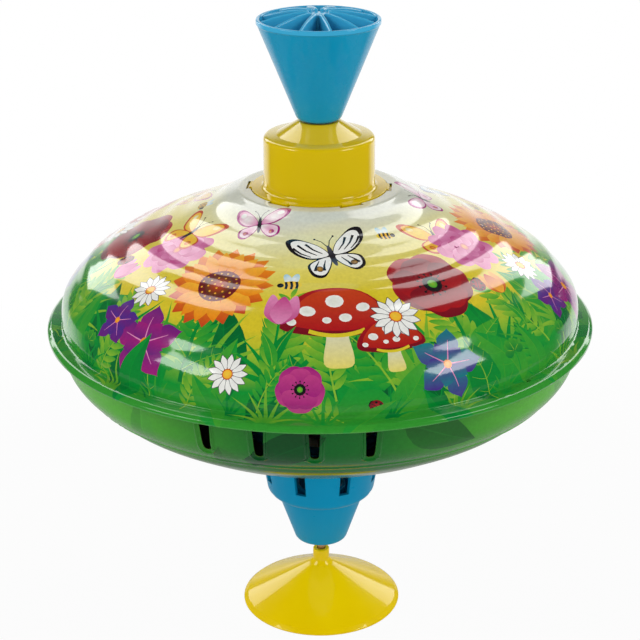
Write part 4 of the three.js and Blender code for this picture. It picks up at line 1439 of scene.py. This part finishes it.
class TOP_OT_knob(Operator):
    """Make the conical knob with its radial ribs and hub"""

    bl_idname = "top.knob"
    bl_label = "Knob"

    def execute(self, context):
        sizes, colours = context.scene.top_sizes, context.scene.top_colours
        cone_top = KNOB_BOTTOM + 32.5
        rim = cone_top + 1.8
        root = KNOB_BOTTOM + 2.2
        disc = KNOB_TOP - 0.9
        path = rounded_path([
            (0, KNOB_BOTTOM, 0),
            (7.3, KNOB_BOTTOM, 2.4),
            (20.4, cone_top - 0.1, 0.4),
            (KNOB_RADIUS, cone_top + 0.3, 0.3),
            (KNOB_RADIUS, rim, 0.5),
            (19.6, rim, 0.5),
            (19.2, cone_top, 0.4),
            (6.7, root, 0.5),
            (3.4, root, 0.4),
            (3.2, disc, 0.25),
            (0, disc, 0),
        ])
        bm = bmesh.new()
        add_turned(bm, path, even_angles(sizes.facets))
        for i in range(KNOB_RIBS):
            sections = []
            for k in range(25):
                share = (k / 24) ** 1.5
                radius = KNOB_HUB + KNOB_RIB_LENGTH * share
                crest = KNOB_TOP - (KNOB_TOP - rim + 0.35) * share ** 1.9
                crest -= 0.9 * max(0.0, 1 - (radius - KNOB_HUB) / 0.9) ** 2
                foot = root - 0.6 + max(0.0, radius - 6.4) / 12.8 * (cone_top - root)
                sections.append(self.rib_section(KNOB_RIB_ANGLE + 360 * i / KNOB_RIBS, radius, foot, crest))
            add_loft(bm, sections)
        # Faces not turned downward (rim, ribs, inner side) take a lighter blue: painted light, on top of a
        # glossier coat that is real
        mesh = to_mesh(bm, "ribbed_knob", upward=-0.1)
        materials = [
            moulded_plastic("knob blue plastic", tuple(colours.knob), 0.26, 0.32),
            moulded_plastic("knob blue with painted light", tuple(colours.knob_painted_light), 0.2, 0.8),
        ]
        new_piece("ribbed_knob", mesh, materials, "handle", "knob")
        return {'FINISHED'}

    @staticmethod
    def rib_section(angle, radius, foot, crest):
        """Upright section of a rib with a rounded crest."""
        half = KNOB_RIB_HALF
        turn = math.radians(angle)
        points = [(-half, foot), (-half, crest - half)]
        for k in range(1, 6):
            bend = math.pi * k / 6
            points.append((-half * math.cos(bend), crest - half + half * math.sin(bend)))
        points += [(half, crest - half), (half, foot)]
        section = []
        for side, level in points:
            x = radius * math.sin(turn) + side * math.cos(turn)
            y = -radius * math.cos(turn) + side * math.sin(turn)
            section.append((x * MM, y * MM, level * MM))
        return section


class TOP_OT_cup(Operator):
    """Make the blue cup with its air slots, step and nose"""

    bl_idname = "top.cup"
    bl_label = "Lower Cup"

    def execute(self, context):
        colours = context.scene.top_colours
        taper = (CUP_NECK_RADIUS - CUP_STEP_RADIUS) / CUP_TAPER_HEIGHT
        flange = CUP_TOP - 1.5

        def wall(level):
            return CUP_STEP_RADIUS + (level - STEP_LEVEL) * taper

        slot_low, slot_high = STEP_LEVEL + 6.5, STEP_LEVEL + 18.5
        outside = rounded_path([
            (1.6, NOSE_BOTTOM, 0),
            (9.31, NOSE_BOTTOM, 1.5),
            (15.9, STEP_LEVEL - 0.15, 0),
        ], 8)
        bend = 3.2
        for k in range(11):
            angle = math.radians(-90 + 80 * k / 10)
            outside.append((
                wall(STEP_LEVEL + bend) - bend + bend * math.cos(angle),
                STEP_LEVEL + bend + bend * math.sin(angle),
            ))
        outside.append((wall(slot_low), slot_low))
        upper = rounded_path([
            (wall(slot_high), slot_high, 0),
            (CUP_NECK_RADIUS, BOWL_BOTTOM, 0),
            (CUP_NECK_RADIUS, flange, 0),
            (27.1, flange, 0.3),
            (27.1, CUP_TOP, 0.3),
            (21.9, CUP_TOP, 0.3),
            (wall(slot_high) - CUP_WALL, slot_high, 0),
        ], 4)
        inside = rounded_path([
            (wall(slot_low) - CUP_WALL, slot_low, 0),
            (17.2, STEP_LEVEL + 1.7, 1.6),
            (14.4, STEP_LEVEL + 1.6, 0.5),
            (9.5, NOSE_BOTTOM + 5.2, 0.3),
            (9.1, NOSE_BOTTOM + 5.2, 0),
            (9.1, STEP_LEVEL + 2, 0.2),
            (7.3, STEP_LEVEL + 2, 0),
            (7.3, STEP_LEVEL + 6.2, 0.3),
            (3.0, STEP_LEVEL + 6.2, 0.2),
            (3.0, STEP_LEVEL + 1.9, 0),
            (1.6, STEP_LEVEL + 1.9, 0),
        ], 4)
        path = outside + upper + inside
        slot_half = math.degrees(CUP_SLOT_WIDTH / 2 / CUP_SLOT_RADIUS)
        angles, columns = [], []
        for i in range(CUP_SLOTS):
            middle = CUP_SLOT_ANGLE + 360 * i / CUP_SLOTS
            columns.append(len(angles))
            angles.append(middle - slot_half)
            span = 360 / CUP_SLOTS - 2 * slot_half
            angles += [middle + slot_half + span * k / 16 for k in range(16)]
        bm = bmesh.new()
        outer_row = len(outside) - 1
        add_turned(bm, path, angles, (outer_row, outer_row + len(upper), columns))
        mesh = to_mesh(bm, "slotted_cup")
        material = moulded_plastic("cup blue plastic", tuple(colours.cup), 0.3, 0.1)
        new_piece("slotted_cup", mesh, [material], "top_body", "lower_cup")
        return {'FINISHED'}


class TOP_OT_foot(Operator):
    """Make the conical foot with its neck and socket"""

    bl_idname = "top.foot"
    bl_label = "Foot"

    def execute(self, context):
        sizes, colours = context.scene.top_sizes, context.scene.top_colours
        path = rounded_path([
            (27.0, 0, 0.2),
            (FOOT_RADIUS, 0, 0.25),
            (FOOT_RADIUS, 0.5, 0.4),
            (27.5, 1.8, 1.2),
            (4.4, 14.4, 1.6),
            (3.0, 16.0, 1.0),
            (3.0, FOOT_TOP, 0.35),
            (1.6, FOOT_TOP, 0.2),
            (1.6, 12.3, 0),
            (3.5, 12.3, 0.2),
            (3.5, 2.6, 0.2),
            (5.2, 2.6, 0.3),
            (5.2, 12.0, 0.6),
        ])
        bm = bmesh.new()
        add_turned(bm, path, even_angles(sizes.facets))
        mesh = to_mesh(bm, "moulded_foot")
        material = moulded_plastic("foot yellow plastic", tuple(colours.foot), 0.2, 0.6)
        new_piece("moulded_foot", mesh, [material], "stand", "foot")
        return {'FINISHED'}


class TOP_OT_pin(Operator):
    """Make the bright axle pin"""

    bl_idname = "top.pin"
    bl_label = "Axle Pin"

    def execute(self, context):
        colours = context.scene.top_colours
        bottom, top = low("axle_pin"), high("axle_pin")
        path = rounded_path([
            (0, bottom, 0),
            (1.3, bottom, 0.9),
            (1.3, 11.0, 0),
            (1.0, 11.0, 0),
            (1.0, 12.0, 0),
            (1.3, 12.0, 0),
            (1.3, top - 1.3, 0.1),
            (2.7, top - 1.3, 0.2),
            (2.7, top, 0.4),
            (0, top, 0),
        ])
        bm = bmesh.new()
        add_turned(bm, path, even_angles(48))
        mesh = to_mesh(bm, "bright_pin")
        material = drawn_metal("drawn steel of the pin", tuple(colours.pin), 0.34)
        new_piece("bright_pin", mesh, [material], "top_body", "axle_pin")
        return {'FINISHED'}


class TOP_OT_spindle(Operator):
    """Make the twisted spindle with its rounded edges"""

    bl_idname = "top.spindle"
    bl_label = "Twisted Spindle"

    def execute(self, context):
        colours = context.scene.top_colours
        bottom, top = low("spindle"), high("spindle")
        wide, thick, edge = 3.0, 0.8, 0.3
        outline = []
        for x, y, turn in ((wide, thick, 0), (-wide, thick, 90), (-wide, -thick, 180), (wide, -thick, 270)):
            for k in range(3):
                angle = math.radians(turn + 45 * k)
                inward_x, inward_y = x - math.copysign(edge, x), y - math.copysign(edge, y)
                outline.append((inward_x + edge * math.cos(angle), inward_y + edge * math.sin(angle)))
        sections = []
        steps = 150
        for i in range(steps + 1):
            level = bottom + (top - bottom) * i / steps
            turn = math.radians(SPINDLE_ANGLE) + max(0.0, COLLAR_TOP - level) / SPINDLE_LEAD * math.tau
            cosine, sine = math.cos(turn), math.sin(turn)
            sections.append([
                ((x * cosine - y * sine) * MM, (x * sine + y * cosine) * MM, level * MM) for x, y in outline
            ])
        bm = bmesh.new()
        add_loft(bm, sections)
        mesh = to_mesh(bm, "twisted_spindle", 50.0)
        material = drawn_metal("zinc-plated steel of the spindle", tuple(colours.steel), 0.4, metallic=0.55)
        new_piece("twisted_spindle", mesh, [material], "handle", "spindle")
        return {'FINISHED'}


class TOP_OT_inner_pieces(Operator):
    """Give the pieces inside the body their finishes"""

    bl_idname = "top.inner_pieces"
    bl_label = "Inner Pieces"

    def execute(self, context):
        colours = context.scene.top_colours
        nylon = natural_nylon("natural nylon", tuple(colours.nylon))
        steel = drawn_metal("plain steel", tuple(colours.steel), 0.28)
        tube = drawn_metal("seamed tube steel", shade(tuple(colours.steel), 0.9), 0.32, (1, 1, 0.02))
        brass = drawn_metal("rolled brass", tuple(colours.brass), 0.3, (0.3, 0.3, 1))
        finishes = {
            nylon: ["foot_plug", "pin_plug", "spindle_guide", "clutch_seat", "reed_plate", "driver"],
            steel: ["pin_clip", "spindle_stop", "stop_pin", "knob_pin"],
            tube: ["guide_tube"],
            brass: [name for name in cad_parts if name.startswith("reed_") and name != "reed_plate"],
        }
        for material, names in finishes.items():
            for name in names:
                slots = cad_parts[name].data.materials
                if not slots:
                    slots.append(material)
                for i in range(len(slots)):
                    slots[i] = material
        return {'FINISHED'}


def softbox(name, place, width, height, power):
    """A large rectangular lamp that faces the middle of the stage, all in metres."""
    light = bpy.data.lights.new(name, 'AREA')
    light.shape = 'RECTANGLE'
    light.size = width
    light.size_y = height
    light.energy = power
    lamp = bpy.data.objects.new(name, light)
    lamp.location = place
    lamp.rotation_euler = (Vector(STAGE_MIDDLE) - Vector(place)).to_track_quat('-Z', 'Y').to_euler()
    bpy.context.scene.collection.objects.link(lamp)


class TOP_OT_stage(Operator):
    """Make the floor, the softboxes, the white surround and the camera"""

    bl_idname = "top.stage"
    bl_label = "Stage"

    def execute(self, context):
        stage = context.scene.top_stage
        scene = context.scene
        bm = bmesh.new()
        bmesh.ops.create_circle(bm, cap_ends=True, segments=64, radius=FLOOR_RADIUS)
        mesh = bpy.data.meshes.new("floor")
        bm.to_mesh(mesh)
        bm.free()
        floor = bpy.data.objects.new("floor", mesh)
        scene.collection.objects.link(floor)
        mesh.materials.append(self.floor_material(tuple(stage.floor)))
        lamps = (
            (" softbox", SIDE_SOFTBOX, stage.side_power),
            (" rear softbox", REAR_SOFTBOX, stage.rear_power),
        )
        for side, name in ((-1, "left"), (1, "right")):
            for kind, (angle, lift, width, height), power in lamps:
                softbox(name + kind, self.aim(side * angle, lift), width, height, power)
        self.surround(scene, stage.world_level, stage.ceiling_level, stage.dim_level)
        camera_data = bpy.data.cameras.new("camera")
        camera_data.lens = CAMERA_LENS
        camera_data.sensor_width = 36.0
        camera = bpy.data.objects.new("camera", camera_data)
        camera.location = CAMERA_PLACE
        camera.rotation_euler = (math.radians(CAMERA_TILT), 0, 0)
        camera.rotation_euler.rotate_axis('Z', stage.roll)
        scene.collection.objects.link(camera)
        scene.camera = camera
        scene.view_settings.view_transform = 'Standard'
        return {'FINISHED'}

    @staticmethod
    def floor_material(colour):
        """Pale floor that the camera sees as near white, with the object's shadow, and that ends softly."""
        finish = Finish("pale floor")
        grain = finish.spread(finish.noise(6.0, 2.0), 0.0, 1.0)
        finish.base(finish.tint(grain, shade(colour, 0.985), colour))
        finish.set(Roughness=0.9)
        glow = finish.add("ShaderNodeEmission", Strength=1.0)
        glow.inputs["Color"].default_value = (1, 1, 1, 1)
        length = finish.add("ShaderNodeVectorMath", operation='LENGTH')
        finish.link(finish.place(), length.inputs[0])
        distance = length.outputs["Value"]
        camera = finish.add("ShaderNodeLightPath").outputs["Is Camera Ray"]
        white = finish.combine('MULTIPLY', finish.ramp(distance, *FLOOR_FADE, 0.95, 1.0), camera)
        seen = finish.blend_shaders(white, finish.shader.outputs[0], glow.outputs[0])
        ends = finish.combine('SUBTRACT', finish.ramp(distance, *FLOOR_FADE, 0.0, 1.0), camera, clamp=True)
        clear = finish.add("ShaderNodeBsdfTransparent")
        mix = finish.blend_shaders(ends, seen, clear.outputs[0])
        finish.link(mix, finish.tree.nodes["Material Output"].inputs["Surface"])
        return finish.material

    @staticmethod
    def aim(angle, lift):
        """Place of a lamp at an angle from the front and a lift above the floor, in degrees."""
        turn, rise = math.radians(angle), math.radians(lift)
        flat = LAMP_DISTANCE * math.cos(rise)
        height = STAGE_MIDDLE[2] + LAMP_DISTANCE * math.sin(rise)
        return (flat * math.sin(turn), -flat * math.cos(turn), height)

    @staticmethod
    def surround(scene, level, ceiling, dim):
        """White surround with a dim front: the camera sees full white, light comes at a plain level,
        and gloss mirrors a bright backdrop behind the top and a dim studio in front of it."""
        world = bpy.data.worlds.new("white surround")
        scene.world = world
        world.use_nodes = True
        sky = Tree(world.node_tree)
        background = sky.tree.nodes["Background"]
        background.inputs["Color"].default_value = (1, 1, 1, 1)
        parts = sky.add("ShaderNodeSeparateXYZ")
        sky.link(sky.add("ShaderNodeTexCoord").outputs["Generated"], parts.inputs[0])
        back, up = parts.outputs["Y"], parts.outputs["Z"]
        plain = sky.ramp(up, 0.45, 0.8, level, ceiling)
        high_back, low_back = sky.ramp(back, 0.88, 0.98, dim, 1.0), sky.ramp(back, 0.45, 0.7, dim, 1.0)
        above = sky.combine('MINIMUM', high_back, sky.ramp(up, 0.5, 0.62, 1.0, dim))
        below = sky.combine('MINIMUM', low_back, sky.ramp(up, -0.08, 0.0, 1.0, dim))
        backdrop = sky.combine('MAXIMUM', above, below)
        path = sky.add("ShaderNodeLightPath")
        mirrored = sky.add("ShaderNodeMix")
        sky.link(plain, mirrored.inputs["A"])
        sky.link(path.outputs["Is Glossy Ray"], mirrored.inputs["Factor"])
        sky.link(backdrop, mirrored.inputs["B"])
        seen = sky.add("ShaderNodeMix")
        seen.inputs["B"].default_value = 1.0
        sky.link(path.outputs["Is Camera Ray"], seen.inputs["Factor"])
        sky.link(mirrored.outputs["Result"], seen.inputs["A"])
        sky.link(seen.outputs["Result"], background.inputs["Strength"])


class TOP_PT_panel(Panel):
    """Lists the pieces of the top and their sizes and colours"""

    bl_idname = "TOP_PT_panel"
    bl_label = "Humming Top"
    bl_space_type = 'VIEW_3D'
    bl_region_type = 'UI'
    bl_category = "Humming Top"

    def draw(self, context):
        layout = self.layout
        for group in (context.scene.top_sizes, context.scene.top_colours, context.scene.top_stage):
            box = layout.box()
            for name in group.__annotations__:
                box.prop(group, name)
        for operator in OPERATORS:
            layout.operator(operator.bl_idname)


OPERATORS = (
    TOP_OT_dome,
    TOP_OT_bowl,
    TOP_OT_collar,
    TOP_OT_knob,
    TOP_OT_cup,
    TOP_OT_foot,
    TOP_OT_pin,
    TOP_OT_spindle,
    TOP_OT_inner_pieces,
    TOP_OT_stage,
)
GROUPS = (TopSizes, TopColours, TopStage)


def register():
    for cls in (*GROUPS, *OPERATORS, TOP_PT_panel):
        bpy.utils.register_class(cls)
    bpy.types.Scene.top_sizes = PointerProperty(type=TopSizes)
    bpy.types.Scene.top_colours = PointerProperty(type=TopColours)
    bpy.types.Scene.top_stage = PointerProperty(type=TopStage)


def unregister():
    del bpy.types.Scene.top_stage
    del bpy.types.Scene.top_colours
    del bpy.types.Scene.top_sizes
    for cls in reversed((*GROUPS, *OPERATORS, TOP_PT_panel)):
        bpy.utils.unregister_class(cls)


def main():
    register()
    bpy.ops.top.stage()
    bpy.ops.top.foot()
    bpy.ops.top.pin()
    bpy.ops.top.cup()
    bpy.ops.top.bowl()
    bpy.ops.top.dome()
    bpy.ops.top.collar()
    bpy.ops.top.knob()
    bpy.ops.top.spindle()
    bpy.ops.top.inner_pieces()


if __name__ == "__main__":
    main()
